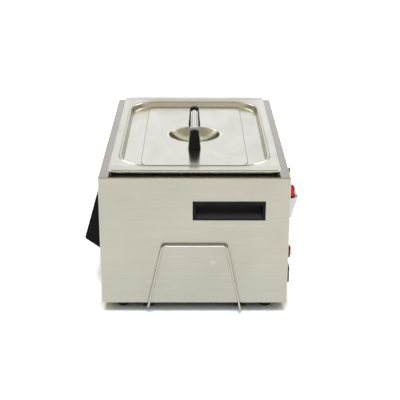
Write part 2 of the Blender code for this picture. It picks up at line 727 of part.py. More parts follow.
def make_wire_rest():
    corners = [
        (WIRE_PIVOT_X, -CLIP_Y + 9 * MM, WIRE_PIVOT_Z),
        (WIRE_PIVOT_X, -WIRE_FOOT_HALF, WIRE_PIVOT_Z),
        (WIRE_X, -WIRE_FOOT_HALF, WIRE_PIVOT_Z),
        (WIRE_X, -WIRE_TOP_HALF, WIRE_TOP_Z),
        (WIRE_X, WIRE_TOP_HALF, WIRE_TOP_Z),
        (WIRE_X, WIRE_FOOT_HALF, WIRE_LOW_ELBOW_Z),
        (WIRE_PIVOT_X, WIRE_FOOT_HALF, WIRE_PIVOT_Z),
        (WIRE_PIVOT_X, CLIP_Y - 9 * MM, WIRE_PIVOT_Z),
    ]
    tight = 2.2 * MM
    first = with_bends(corners[:4], tight, 3)[:-1]
    middle = with_bends(corners[2:6], WIRE_BEND)[1:-1]
    last = with_bends(corners[4:], tight, 3)[1:]
    pivot = Vector((WIRE_PIVOT_X, 0, WIRE_PIVOT_Z))
    holder = add_empty("wire_rest_pivot", pivot, parent=ROOT)
    path = [point - pivot for point in first + middle + last]
    place("wire_rest", wire_curve("wire_rest", path, WIRE_RADIUS, 2, True), "bright_steel", parent=holder)

    clip_z = BASE_Z - GAP - CLIP[2] / 2
    for side, name in ((1, "rear"), (-1, "front")):
        clip = box(f"wire_clip_{name}", CLIP, "black_plastic", (WIRE_PIVOT_X, side * CLIP_Y, clip_z))
        slot_height = WIRE_PIVOT_Z + WIRE_RADIUS + 0.7 * MM
        slot = (12 * MM, 2 * WIRE_RADIUS + 1.6 * MM, slot_height)
        slot_x = WIRE_PIVOT_X - 2.8 * MM + slot[0] / 2
        hole_length = 14 * MM
        hole_y = side * (CLIP_Y - 10 * MM + hole_length / 2)
        hole_place = (WIRE_PIVOT_X, hole_y, WIRE_PIVOT_Z)
        cut(
            clip,
            box(f"leg_slot_{name}", slot, location=(slot_x, side * WIRE_FOOT_HALF, slot_height / 2)),
            rod(f"pin_hole_{name}", WIRE_RADIUS + GAP, hole_length, location=hole_place, axis=(0, 1, 0)),
        )
        peg = rod(f"clip_peg_{name}", PEG_RADIUS, 8 * MM, location=(WIRE_PIVOT_X, side * CLIP_Y, BASE_Z))
        join(clip, peg)


# ---------------------------------------------------------------- control wedge


def wedge_outline(wall=0.0):
    """The wedge's section as (depth from the wall, height), with its wall's thickness taken off."""
    back = 4 * MM if wall else 0
    tip_reach = WEDGE_BACK_Y - WEDGE_TIP_Y
    top_reach = WEDGE_BACK_Y - WEDGE_TOP_Y
    slope = (tip_reach - top_reach) / (WEDGE_TOP_Z - WEDGE_TIP_Z)
    across = wall / math.cos(FACE_TILT)
    tip_radius = WEDGE_TIP_RADIUS - wall if wall else WEDGE_TIP_RADIUS
    floor_slope = tip_reach / (WEDGE_TIP_Z - WEDGE_BOTTOM_Z)
    corners = [
        (-back, WEDGE_TOP_Z - wall * 4),
        (max(top_reach + slope * wall * 4 - across, 0.5 * MM), WEDGE_TOP_Z - wall * 4),
        (tip_reach - across, WEDGE_TIP_Z + (wall * 0.3)),
        (-back, WEDGE_BOTTOM_Z + wall * 1.4 - back / floor_slope),
    ]
    closed = [Vector((*corner, 0)) for corner in corners]
    points = with_bends([closed[1], closed[2], closed[3]], tip_radius, 4)
    return [(point.x, point.y) for point in [closed[0], *points]]


def make_wedge():
    # The outline's X is the depth from the wall (-Y) and its Y is the height (+Z).
    stand = (math.pi / 2, 0, -math.pi / 2)
    where = (0, WEDGE_BACK_Y, 0)
    wedge = outline_prism("control_housing", wedge_outline(), WEDGE_LENGTH, "black_plastic", where, stand)
    inner = outline_prism(
        "wedge_cavity", wedge_outline(WEDGE_WALL), WEDGE_LENGTH - 2 * WEDGE_WALL, None, where, stand
    )
    cut(wedge, inner)
    for index, (x, y, z) in enumerate(wedge_peg_places(WEDGE_BACK_Y)):
        side = math.copysign(1, x)
        block = (22 * MM, 9 * MM, 12 * MM)
        block_x = side * (WEDGE_LENGTH / 2 - 1 * MM - block[0] / 2)
        join(
            wedge,
            box(f"peg_block_{index}", block, location=(block_x, y - block[1] / 2, z)),
            rod(f"wedge_peg_{index}", PEG_RADIUS, 12 * MM, location=(x, y, z), axis=(0, 1, 0), sides=12),
        )
    recess_depth = FASCIA[2] + 2 * FASCIA_SINK
    recess = (FASCIA[0] + 2 * GAP, FASCIA[1] + 2 * GAP, 2 * recess_depth)
    cut(
        wedge,
        box("fascia_recess", recess, parent=FACE),
        box("window_in_wall", (*WINDOW, 14 * MM), location=(0, WINDOW_Y, 0), parent=FACE),
    )

    fascia_z = -FASCIA_SINK - FASCIA[2] / 2
    fascia = box("control_fascia", FASCIA, "gloss_black", (0, 0, fascia_z), parent=FACE)
    cut(fascia, box("window_in_fascia", (*WINDOW, 6 * MM), location=(0, WINDOW_Y, 0), parent=FACE))
    lens = (WINDOW[0] - 2 * GAP, WINDOW[1] - 2 * GAP, 2.4 * MM)
    box("display_lens", lens, "smoked_lens", (0, WINDOW_Y, -0.5 * MM - lens[2] / 2), parent=FACE)
    module = (58 * MM, 20 * MM, 6 * MM)
    board_top = -BOARD_DEPTH
    module_z = board_top + GAP + module[2] / 2
    box("display_module", module, "grey_plastic", (0, WINDOW_Y, module_z), parent=FACE)
    board_size = (180 * MM, 60 * MM, 1.6 * MM)
    board_place = (0, -2 * MM, board_top - board_size[2] / 2)
    board = box("control_board", board_size, "circuit_board", board_place, parent=FACE)

    cap_bottom = -5.8 * MM
    cap_top = 0.7 * MM
    flange_height = 0.8 * MM
    flange_radius = BUTTON_RADIUS + 1.2 * MM
    profile = [
        (0, cap_top), (BUTTON_RADIUS - 0.8 * MM, cap_top), (BUTTON_RADIUS, cap_top - 0.6 * MM),
        (BUTTON_RADIUS, cap_bottom + flange_height), (flange_radius, cap_bottom + flange_height),
        (flange_radius, cap_bottom), (0, cap_bottom),
    ]
    middle = (len(BUTTON_NAMES) - 1) / 2
    switch_height = 3 * MM
    for index, name in enumerate(BUTTON_NAMES):
        x = (index - middle) * BUTTON_PITCH
        for part, holed in (("wall", wedge), ("fascia", fascia)):
            hole_name = f"{name}_hole_in_{part}"
            cut(holed, rod(hole_name, BUTTON_RADIUS + GAP, 20 * MM, location=(x, BUTTON_Y, 0), parent=FACE))
        turned(f"button_{name}", profile, "grey_plastic", (x, BUTTON_Y, 0), sides=16, parent=FACE)
        switch_size = (6 * MM, 6 * MM, switch_height)
        switch_place = (x, BUTTON_Y, board_top + switch_height / 2 - 0.2 * MM)
        join(board, box(f"tact_switch_{name}", switch_size, location=switch_place, parent=FACE))


# ---------------------------------------------------------------- rocker switch and mains inlet


def rear_insert(name, flange, body, x, z):
    """A flange on the rear wall and the body behind it, joined."""
    flange_y = HALF_WIDTH + GAP + flange[2] / 2
    part = box(name, (flange[0], flange[2], flange[1]), "black_plastic", (x, flange_y, z))
    body_depth = body[2] + flange[2] / 2
    body_y = flange_y - body_depth / 2
    join(part, box(name + "_body", (body[0], body_depth, body[1]), location=(x, body_y, z)))
    return part


def make_switch():
    frame = rear_insert("rocker_frame", SWITCH_FRAME, SWITCH_BODY, SWITCH_X, SWITCH_Z)
    well_bottom = HALF_WIDTH - SWITCH_BODY[2] + 2 * MM
    well_top = HALF_WIDTH + 8 * MM
    well = (SWITCH_WELL[0], well_top - well_bottom, SWITCH_WELL[1])
    cut(frame, box("rocker_well", well, location=(SWITCH_X, (well_top + well_bottom) / 2, SWITCH_Z)))

    outline = [(ROCKER_HALF, 0), (ROCKER_HALF, ROCKER_HALF), (0, ROCKER_HALF * 0.6)]
    outline.append((-ROCKER_HALF, ROCKER_HALF))
    steps = 8
    for step in range(steps):
        angle = math.pi * (1 + step / steps)
        outline.append((ROCKER_HALF * math.cos(angle), ROCKER_HALF * math.sin(angle)))
    holder = add_empty("rocker_axis", (SWITCH_X, ROCKER_AXIS_Y, SWITCH_Z), (ROCKER_TILT, 0, 0), ROOT)
    upright = (0, -math.pi / 2, 0)
    rocker = outline_prism(
        "rocker_paddle", outline, ROCKER_WIDTH, "red_lens", rotation=upright, parent=holder
    )
    bevel(rocker, 0.5 * MM, 1)


def make_inlet():
    inlet = rear_insert("inlet_body", INLET_FLANGE, INLET_BODY, INLET_X, INLET_Z)
    face_y = HALF_WIDTH + GAP + INLET_FLANGE[2]
    tab_back = DRAWER_TAB[1] - TAB_PROUD
    half_x = SOCKET[0] / 2
    half_z = SOCKET[1] / 2
    corner = 5 * MM
    outline = [
        (-half_x, -half_z), (half_x, -half_z), (half_x, half_z - corner), (half_x - corner, half_z),
        (corner - half_x, half_z), (-half_x, half_z - corner),
    ]
    cut(
        inlet,
        outline_prism(
            "socket_cavity", outline, 2 * SOCKET[2], None, (INLET_X, face_y, SOCKET_Z), (math.pi / 2, 0, 0)
        ),
        box(
            "drawer_cavity", (DRAWER_SLOT[0], 2 * DRAWER_SLOT[2], DRAWER_SLOT[1]),
            location=(INLET_X, face_y, DRAWER_Z),
        ),
        box(
            "tab_recess", (DRAWER_TAB[0] + 2 * GAP, 2 * (tab_back + GAP), DRAWER_TAB[2] + 2 * GAP),
            location=(INLET_X, face_y, DRAWER_Z),
        ),
    )
    carrier = (18 * MM, 3 * MM, 11 * MM)
    carrier_y = face_y - SOCKET[2] + GAP + carrier[1] / 2
    contacts = box("inlet_contacts", carrier, "brass", (INLET_X, carrier_y, SOCKET_Z))
    pin_size = (2 * MM, 13 * MM, 4 * MM)
    for number, (x, z) in enumerate([(-7 * MM, -2 * MM), (7 * MM, -2 * MM), (0, 2 * MM)]):
        pin_place = (INLET_X + x, carrier_y + pin_size[1] / 2 - 1 * MM, SOCKET_Z + z)
        join(contacts, box(f"contact_pin_{number}", pin_size, location=pin_place))

    drawer_length = DRAWER_SLOT[2] - tab_back - 1 * MM
    drawer_size = (DRAWER_SLOT[0] - 2 * GAP, drawer_length, DRAWER_SLOT[1] - 2 * GAP)
    drawer_y = face_y - tab_back + 0.1 * MM - drawer_size[1] / 2
    drawer = box("fuse_drawer", drawer_size, "black_plastic", (INLET_X, drawer_y, DRAWER_Z))
    tab_place = (INLET_X, face_y - tab_back + DRAWER_TAB[1] / 2, DRAWER_Z)
    join(drawer, box("drawer_tab", DRAWER_TAB, location=tab_place))
    pocket = (2 * FUSE_RADIUS + 2 * GAP, FUSE_LENGTH + 2 * GAP, DRAWER_SLOT[1])
    fuse_z = DRAWER_Z + 0.3 * MM
    pocket_z = fuse_z - FUSE_RADIUS - GAP + pocket[2] / 2
    cut(drawer, box("fuse_pocket", pocket, location=(INLET_X, drawer_y, pocket_z)))
    rod("fuse", FUSE_RADIUS, FUSE_LENGTH, "glass", (INLET_X, drawer_y, fuse_z), (0, 1, 0), sides=12)


# ---------------------------------------------------------------- drain hose and tap


def make_tap():
    axis = (DRAIN_X, TAP_Y, 0)
    seat_z = 61 * MM
    chamber = 14 * MM
    profile = [
        (chamber, TAP_TOP_Z), (TAP_RADIUS - 3 * MM, TAP_TOP_Z), (TAP_RADIUS, TAP_TOP_Z - 3 * MM),
        (TAP_RADIUS, 77 * MM), (18.6 * MM, 64 * MM), (13.6 * MM, 49 * MM), (11.2 * MM, 38 * MM),
        (10.6 * MM, SPOUT_END_Z + 1 * MM), (9.8 * MM, SPOUT_END_Z), (7 * MM, SPOUT_END_Z),
        (7 * MM, seat_z), (chamber, seat_z + 2 * MM),
    ]
    body = turned("tap_body", profile, "bright_steel", axis, closed=True, sides=28)
    shank_end = TAP_Y - chamber - 1.5 * MM
    length = shank_end - SHANK_START_Y
    shank_place = (DRAIN_X, (SHANK_START_Y + shank_end) / 2, SHANK_Z)
    join(body, rod("tap_shank", SHANK_RADIUS, length, location=shank_place, axis=(0, 1, 0)))
    bore_radius = DRAIN_BORE - 0.5 * MM
    cut(body, rod("shank_bore", bore_radius, length + 16 * MM, location=shank_place, axis=(0, 1, 0)))

    ring = SHANK_RADIUS + GAP
    washer = [(14 * MM, 1.8 * MM), (14 * MM, 0), (ring, 0), (ring, 1.8 * MM)]
    washer_place = (DRAIN_X, HALF_WIDTH + GAP, SHANK_Z)
    turned("tap_washer", washer, "black_rubber", washer_place, (0, 1, 0), closed=True)
    nut_height = 6 * MM
    nut_place = (DRAIN_X, HALF_WIDTH - SHEET - GAP - nut_height / 2, SHANK_Z)
    nut = rod("tap_locknut", 14 * MM, nut_height, "brass", nut_place, (0, 1, 0), sides=6)
    cut(nut, rod("locknut_hole", ring, 3 * nut_height, location=nut_place, axis=(0, 1, 0)))

    bonnet_z = TAP_TOP_Z + GAP
    hollow = 10 * MM
    hollow_top = LEVER_PIVOT_Z - 6 * MM
    profile = [
        (0, BONNET_TOP_Z), (BONNET_RADIUS - 5 * MM, BONNET_TOP_Z),
        (BONNET_RADIUS - 1 * MM, BONNET_TOP_Z - 3 * MM),
        (BONNET_RADIUS, BONNET_TOP_Z - 6 * MM), (BONNET_RADIUS, bonnet_z), (hollow, bonnet_z),
        (hollow, hollow_top), (0, hollow_top),
    ]
    bonnet = turned("tap_bonnet", profile, "red_plastic", axis)
    slot = (LEVER_WIDTH + 2 * GAP, 60 * MM, 30 * MM)
    slot_z = LEVER_PIVOT_Z - 6.6 * MM + slot[2] / 2
    pin_radius = 1.5 * MM
    pin_length = 26 * MM
    pin_place = (DRAIN_X, TAP_Y, LEVER_PIVOT_Z)
    cut(
        bonnet,
        box("lever_slot", slot, location=(DRAIN_X, TAP_Y, slot_z)),
        rod("pin_hole_in_bonnet", pin_radius + GAP, 60 * MM, location=pin_place, axis=(1, 0, 0), sides=12),
    )
    rod("lever_pin", pin_radius, pin_length, "zinc", pin_place, (1, 0, 0), sides=12)

    # The lever's outline is in its own (depth, height) plane, from an eye round the pin to a blade.
    eye = 6 * MM
    reach = LEVER_TOP_Z - LEVER_PIVOT_Z
    half_blade = [
        (5.4 * MM, reach * 0.25), (3 * MM, reach * 0.6), (2.7 * MM, reach - 8 * MM),
        (3.7 * MM, reach - 5.5 * MM), (3.7 * MM, reach - 1.5 * MM), (2.4 * MM, reach),
    ]
    outline = [(eye, 0), *half_blade, *((-depth, height) for depth, height in reversed(half_blade))]
    steps = 8
    for step in range(steps):
        angle = math.pi * (1 + step / steps)
        outline.append((eye * math.cos(angle), eye * math.sin(angle)))
    holder = add_empty("lever_axis", pin_place, (LEVER_LEAN, 0, 0), ROOT)
    stand = (math.pi / 2, 0, math.pi / 2)
    lever = outline_prism("tap_lever", outline, LEVER_WIDTH, "red_plastic", rotation=stand, parent=holder)
    bevel(lever, 0.7 * MM, 1)
    cut(lever, rod("pin_hole_in_lever", pin_radius + GAP, 30 * MM, axis=(1, 0, 0), parent=holder, sides=12))

    stem_top = LEVER_PIVOT_Z - 10.5 * MM
    cup = [
        (0, stem_top), (3 * MM, stem_top), (3 * MM, 74 * MM), (7 * MM, 71 * MM), (9 * MM, 68 * MM),
        (9 * MM, seat_z + 2.6 * MM), (0, seat_z + 2.6 * MM),
    ]
    turned("tap_seat_cup", cup, "silicone", axis, sides=16)


def make_drain_hose():
    top = TANK_FLOOR_Z - SHEET - 2 * MM
    corners = [(DRAIN_X, DRAIN_Y, top), (DRAIN_X, DRAIN_Y, SHANK_Z), (DRAIN_X, HOSE_END_Y, SHANK_Z)]
    path = with_bends(corners, 24 * MM, 8)
    tube = place("hose_skin", wire_curve("hose_skin", path, HOSE_RADIUS, 4, False), None)
    hose = place("drain_hose", frozen(tube), "silicone")
    thicken(hose, HOSE_WALL)

    inner = HOSE_RADIUS + GAP
    outer = inner + 1.2 * MM
    height = 8 * MM
    band = [(outer, height / 2), (outer, -height / 2), (inner, -height / 2), (inner, height / 2)]
    tank_place = (DRAIN_X, DRAIN_Y, top - height)
    tap_place = (DRAIN_X, HOSE_END_Y - height, SHANK_Z)
    turned("hose_clamp_tank", band, "zinc", tank_place, closed=True)
    turned("hose_clamp_tap", band, "zinc", tap_place, (0, 1, 0), closed=True)


# ---------------------------------------------------------------- electrical parts in the base


def make_electrics():
    plate_top = BASE_Z + SHEET + GAP + BASE_PLATE_THICK
    x, y = POWER_BOARD_PLACE
    board_z = plate_top + STANDOFF_HEIGHT + 2 * GAP + POWER_BOARD[2] / 2
    board = box("power_board", POWER_BOARD, "circuit_board", (x, y, board_z))
    top = board_z + POWER_BOARD[2] / 2
    components = {
        "transformer": ((32 * MM, 28 * MM, 24 * MM), -35 * MM, 15 * MM),
        "relay": ((19 * MM, 15 * MM, 15 * MM), 5 * MM, 20 * MM),
        "triac_heatsink": ((30 * MM, 12 * MM, 25 * MM), 25 * MM, -15 * MM),
        "board_terminals": ((40 * MM, 10 * MM, 12 * MM), -25 * MM, -28 * MM),
    }
    for name, (size, across, along) in components.items():
        join(board, box(name, size, location=(x + across, y + along, top + size[2] / 2 - 0.2 * MM)))
    carrier_size = (POWER_BOARD[0], POWER_BOARD[1], 2 * MM)
    carrier_z = plate_top + GAP + carrier_size[2] / 2
    carrier = box("board_carrier", carrier_size, "black_plastic", (x, y, carrier_z))
    post_height = STANDOFF_HEIGHT - 1 * MM
    reach_x = POWER_BOARD[0] / 2 - 6 * MM
    reach_y = POWER_BOARD[1] / 2 - 6 * MM
    for number, (post_x, post_y, post_z) in enumerate(four_places(reach_x, reach_y, 0)):
        where = (x + post_x, y + post_y, plate_top + GAP + STANDOFF_HEIGHT - post_height / 2)
        join(carrier, rod(f"board_post_{number}", 3 * MM, post_height, location=where, sides=8))
    block = (60 * MM, 20 * MM, 18 * MM)
    box("terminal_block", block, "grey_plastic", (150 * MM, 60 * MM, plate_top + GAP + block[2] / 2))
    stud = [
        (0, 22 * MM), (2.5 * MM, 22 * MM), (2.5 * MM, 8 * MM), (5 * MM, 8 * MM), (5 * MM, 4 * MM),
        (7 * MM, 4 * MM), (7 * MM, 0), (0, 0),
    ]
    turned("earth_stud", stud, "brass", (225 * MM, 120 * MM, plate_top + GAP), sides=6)

    wire = 1.6 * MM
    block_top = plate_top + GAP + block[2] + wire + GAP
    inlet_back = HALF_WIDTH - INLET_BODY[2] - 4 * MM
    mains = [
        (INLET_X, inlet_back, SOCKET_Z), (INLET_X - 10 * MM, inlet_back - 30 * MM, SOCKET_Z - 10 * MM),
        (185 * MM, 80 * MM, block_top + 4 * MM), (165 * MM, 60 * MM, block_top),
    ]
    place("mains_wires", wire_curve("mains_wires", with_bends(mains, 14 * MM), wire, 1, True), "wire_brown")
    under_mat = TANK_FLOOR_Z - SHEET - 2 * GAP - HEATER[2] - wire
    leads = [
        (40 * MM, y - 28 * MM, under_mat), (70 * MM, y - 28 * MM, under_mat - 12 * MM),
        (x - 75 * MM, y - 28 * MM, top + 12 * MM), (x - 47 * MM, y - 28 * MM, top + 5 * MM),
    ]
    path = with_bends(leads, 10 * MM)
    place("heater_leads", wire_curve("heater_leads", path, wire, 1, True), "wire_white")


def centre_over_origin():
    """Moves the whole bath so that the middle of its overall box stands over the origin."""
    front = WEDGE_BACK_Y - max(depth for depth, height in wedge_outline())
    rear = TAP_Y + TAP_RADIUS
    left = -HALF_LENGTH - GAP - CUP_FLANGE[2]
    right = WIRE_X + WIRE_RADIUS
    ROOT.location = (-(left + right) / 2, -(front + rear) / 2, 0)


make_housing()
make_base()
make_tank()
make_heater()
make_lid()
make_lid_handle()
make_carry_handles()
make_wire_rest()
make_wedge()
make_switch()
make_inlet()
make_tap()
make_drain_hose()
make_electrics()
centre_over_origin()
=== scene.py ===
"""The looks of the paraffin wax bath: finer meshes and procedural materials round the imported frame.

Metres, in the frame's own axes: +X towards the end with the wire rest, -Y towards the control wedge.
"""

import math

import bmesh
import bpy
from mathutils import Matrix, Vector


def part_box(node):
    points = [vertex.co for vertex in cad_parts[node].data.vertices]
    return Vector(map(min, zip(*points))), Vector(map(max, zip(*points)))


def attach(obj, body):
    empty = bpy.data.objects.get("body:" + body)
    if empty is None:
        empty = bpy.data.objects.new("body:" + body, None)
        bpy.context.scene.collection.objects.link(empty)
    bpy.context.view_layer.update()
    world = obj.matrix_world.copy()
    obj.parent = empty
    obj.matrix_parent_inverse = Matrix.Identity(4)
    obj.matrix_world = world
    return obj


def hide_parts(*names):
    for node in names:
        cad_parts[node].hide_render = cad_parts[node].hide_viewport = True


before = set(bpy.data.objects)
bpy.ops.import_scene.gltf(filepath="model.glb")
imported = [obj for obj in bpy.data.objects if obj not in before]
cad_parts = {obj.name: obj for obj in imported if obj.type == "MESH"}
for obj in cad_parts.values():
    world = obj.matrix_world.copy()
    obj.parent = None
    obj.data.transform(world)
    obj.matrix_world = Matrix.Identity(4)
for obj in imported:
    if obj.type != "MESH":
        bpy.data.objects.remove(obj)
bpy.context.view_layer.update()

MM = 0.001

# The camera stands in front of the +X end and looks down at the lid.
CAMERA_REACH = (1.96612, -0.00247)
CAMERA_Z = 0.882
CAMERA_PITCH = math.radians(20.924)
CAMERA_YAW = math.radians(0.434)
CAMERA_ROLL = math.radians(-0.212)
LENS_MM = 86.83

# Steps round a quarter circle, and round a whole turned piece
FINE = 10
ROUND_SIDES = 64


def middle(node):
    low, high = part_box(node)
    return (low + high) / 2


SHELL_LOW, SHELL_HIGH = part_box("housing_shell")
BATH_X = (SHELL_LOW.x + SHELL_HIGH.x) / 2
BATH_Y = (SHELL_LOW.y + SHELL_HIGH.y) / 2
DECK_Z = SHELL_HIGH.z
BASE_Z = SHELL_LOW.z
HALF_LENGTH = (SHELL_HIGH.x - SHELL_LOW.x) / 2
HALF_WIDTH = (SHELL_HIGH.y - SHELL_LOW.y) / 2
CENTRE = (BATH_X, BATH_Y)
SHEET = 1 * MM


# ---- materials


def colour_socket(sockets, name):
    return next(s for s in sockets if s.name == name and s.type == "RGBA")


class Graph:
    """Short calls that add nodes to a tree. The coordinates are named after their socket."""

    def __init__(self, tree, coordinates):
        self.tree = tree
        self.where = self.add("TexCoord").outputs[coordinates]

    def add(self, kind, **values):
        node = self.tree.nodes.new("ShaderNode" + kind)
        for key, value in values.items():
            setattr(node, key, value)
        return node

    def plug(self, source, target):
        if isinstance(source, bpy.types.NodeSocket):
            self.tree.links.new(source, target)
        else:
            target.default_value = source

    def stretched(self, scale):
        node = self.add("Mapping")
        self.plug(self.where, node.inputs["Vector"])
        node.inputs["Scale"].default_value = scale
        return node.outputs["Vector"]

    def noise(self, scale, detail=4.0, stretch=(1, 1, 1), roughness=0.55, distortion=0.0):
        node = self.add("TexNoise")
        self.plug(self.stretched(stretch), node.inputs["Vector"])
        node.inputs["Scale"].default_value = scale
        node.inputs["Detail"].default_value = detail
        node.inputs["Roughness"].default_value = roughness
        node.inputs["Distortion"].default_value = distortion
        return node.outputs["Fac"]

    def cells(self, scale, stretch=(1, 1, 1), feature="F1"):
        node = self.add("TexVoronoi", feature=feature)
        self.plug(self.stretched(stretch), node.inputs["Vector"])
        node.inputs["Scale"].default_value = scale
        return node.outputs["Distance"]

    def between(self, value, low, high, start=0.0, end=1.0):
        node = self.add("MapRange")
        settings = {"Value": value, "From Min": start, "From Max": end, "To Min": low, "To Max": high}
        for key, item in settings.items():
            self.plug(item, node.inputs[key])
        return node.outputs["Result"]

    def math(self, operation, first, second=0.0):
        node = self.add("Math", operation=operation)
        self.plug(first, node.inputs[0])
        self.plug(second, node.inputs[1])
        return node.outputs[0]

    def product(self, first, second):
        return self.math("MULTIPLY", first, second)

    def parts(self, source):
        """The source's X, Y and Z."""
        node = self.add("SeparateXYZ")
        self.plug(source, node.inputs[0])
        return node.outputs

    def mix(self, factor, first, second):
        node = self.add("Mix", data_type="RGBA")
        self.plug(factor, node.inputs["Factor"])
        for value, name in ((first, "A"), (second, "B")):
            if isinstance(value, tuple) and len(value) == 3:
                value = (*value, 1)
            self.plug(value, colour_socket(node.inputs, name))
        return colour_socket(node.outputs, "Result")

    def bump(self, height, distance, strength, normal=None):
        node = self.add("Bump")
        self.plug(height, node.inputs["Height"])
        node.inputs["Distance"].default_value = distance
        node.inputs["Strength"].default_value = strength
        if normal is not None:
            self.plug(normal, node.inputs["Normal"])
        return node.outputs["Normal"]

    def edges(self, radius):
        """1 on an edge and 0 away from it."""
        rounded = self.add("Bevel", samples=4)
        rounded.inputs["Radius"].default_value = radius
        geometry = self.add("NewGeometry")
        dot = self.add("VectorMath", operation="DOT_PRODUCT")
        self.plug(rounded.outputs["Normal"], dot.inputs[0])
        self.plug(geometry.outputs["Normal"], dot.inputs[1])
        return self.between(dot.outputs["Value"], 1.0, 0.0, 0.75, 0.995)


class Nodes(Graph):
    """A Principled material."""

    def __init__(self, name):
        self.material = bpy.data.materials.new(name)
        self.material.use_nodes = True
        super().__init__(self.material.node_tree, "Object")
        self.shader = self.tree.nodes["Principled BSDF"]

    def set(self, **values):
        for key, value in values.items():
            self.plug(value, self.shader.inputs[key.replace("_", " ")])

    def tone(self):
        """What feeds the base colour so far."""
        return self.shader.inputs["Base Color"].links[0].from_socket


def dimmed(colour, share):
    return tuple(c * share for c in colour)


def lifted(colour, step, share=1.0):
    return tuple(min(c * share + step, 1) for c in colour)


# How the noise is stretched for a grain along Y or X
GRAINS = {
    "along_y": (1, 0.012, 1),
    "along_x": (0.012, 1, 1),
}

# Marks on the wall behind the wire rest: across the bath and up from the floor, and their radius
SPOT_WELDS = [(36.6 * MM, 107.5 * MM), (-36.5 * MM, 61.8 * MM)]
SPOT_RADIUS = 5 * MM
# The marks are wider than they are tall
SPOT_STRETCH = (0, 0.6, 1)


def brushed_steel(name, colour, grain, roughness=0.33, spots=()):
    """Sheet with a fine grain, longer streaks, soft cloudy patches, scratches and spot-weld marks."""
    n = Nodes(name)
    stretch = GRAINS[grain]
    streak = 0.10
    cloud = 0.10
    fine = n.noise(2600, 3, stretch, 0.7)
    lines = n.noise(520, 5, stretch, 0.65)
    broad = n.noise(90, 3, (stretch[0] * 3, stretch[1] * 3, 1), 0.5)
    patch = n.noise(7, 3)
    scratch = n.between(n.noise(900, 2, dimmed(stretch, 0.6), 0.4), 0, 1, 0.70, 0.76)
    grainy = n.math("ADD", n.product(fine, 0.45), n.product(lines, 0.55))
    dark, light = dimmed(colour, 1 - streak), lifted(colour, 0, 1 + streak)
    tone = n.mix(n.between(grainy, 0, 1, 0.3, 0.7), dark, light)
    tone = n.mix(n.between(broad, 0, cloud, 0.35, 0.7), tone, dimmed(colour, 0.8))
    tone = n.mix(n.between(patch, 0, cloud, 0.35, 0.65), tone, dimmed(colour, 0.72))
    tone = n.mix(n.product(scratch, 0.12), tone, (0.9, 0.9, 0.88))
    for across, up in spots:
        apart = n.add("VectorMath", operation="DISTANCE")
        n.plug(n.stretched(SPOT_STRETCH), apart.inputs[0])
        apart.inputs[1].default_value = (0, (BATH_Y + across) * SPOT_STRETCH[1], up)
        scuffed = n.between(n.noise(420, 4, (1, 0.4, 1)), 0, 1, 0.52, 0.62)
        near = n.between(apart.outputs["Value"], 0.28, 0, SPOT_RADIUS / 2, SPOT_RADIUS)
        tone = n.mix(n.product(near, scuffed), tone, (0.9, 0.88, 0.8))
    rough = n.between(lines, roughness * 0.82, roughness * 1.22, 0.3, 0.7)
    rough = n.math("ADD", rough, n.between(patch, -0.03, 0.04, 0.3, 0.7))
    # Paler rounded edges: partly edge wear, partly a painted highlight.
    worn_and_highlit = n.edges(1.2 * MM)
    tone = n.mix(n.product(worn_and_highlit, 0.35), tone, (0.86, 0.85, 0.82))
    n.set(
        Base_Color=tone, Metallic=1.0, Roughness=rough,
        Normal=n.bump(grainy, 0.02 * MM, 0.35, n.bump(scratch, 0.01 * MM, 0.3)),
    )
    return n


def deck_with_painted_shade(name, colour):
    """The deck's sheet, with painted shade where the lid's rim overhangs it at the +X end."""
    n = brushed_steel(name, colour, "along_x", 0.12)
    x, y, _ = n.parts(n.where)
    across = n.math("ABSOLUTE", n.math("SUBTRACT", y, BATH_Y))
    low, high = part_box("lid")
    half = (high.y - low.y) / 2
    # A near-black strip painted on the deck: painted shade and a painted reflection of the dark gap under
    # the lid's rim.
    painted_shade = n.between(across, 0.75, 0, half - 3 * MM, half)
    painted_shade = n.product(painted_shade, n.between(x, 0, 1, high.x - 6 * MM, high.x - 2 * MM))
    n.set(Base_Color=n.mix(painted_shade, n.tone(), (0.03, 0.025, 0.015)))
    return n


def satin_steel(name, colour, roughness=0.17):
    """Pressed sheet, polished across its length: draw marks, smears and fine random scratches."""
    n = Nodes(name)
    across = n.add("CombineXYZ")
    across.inputs[0].default_value = 1
    smear = n.noise(14, 4, (0.5, 1, 1), 0.6, 0.4)
    fine = n.noise(1500, 3, (1, 0.02, 1), 0.6)
    marks = n.between(n.noise(420, 2, (1, 0.12, 1), 0.4, 0.6), 0, 1, 0.66, 0.73)
    tone = n.mix(n.between(smear, 0, 0.15, 0.35, 0.7), colour, dimmed(colour, 0.88))
    tone = n.mix(n.between(fine, 0, 0.16, 0.35, 0.65), tone, dimmed(colour, 0.85))
    uneven = n.between(smear, roughness * 0.8, roughness * 1.25, 0.3, 0.7)
    n.set(
        Base_Color=tone, Metallic=1.0, Roughness=n.math("ADD", uneven, n.product(marks, 0.1)),
        Anisotropic=0.75, Tangent=across.outputs[0],
        Normal=n.bump(fine, 0.01 * MM, 0.25, n.bump(smear, 0.08 * MM, 0.08)),
    )
    return n


def polished(name, colour, roughness=0.07):
    """Bright metal with finger smears and hairline scratches."""
    n = Nodes(name)
    smear = n.noise(45, 4, (1, 1, 1), 0.6, 0.5)
    hair = n.between(n.cells(260, (0.25, 1, 1), "DISTANCE_TO_EDGE"), 1, 0, 0.0, 0.02)
    uneven = n.between(smear, roughness * 0.6, roughness * 1.7, 0.35, 0.7)
    rough = n.math("ADD", uneven, n.product(hair, 0.08))
    tone = n.mix(n.between(smear, 0, 0.12, 0.4, 0.7), colour, dimmed(colour, 0.8))
    n.set(Base_Color=tone, Metallic=1.0, Roughness=rough, Normal=n.bump(smear, 0.05 * MM, 0.1))
    return n


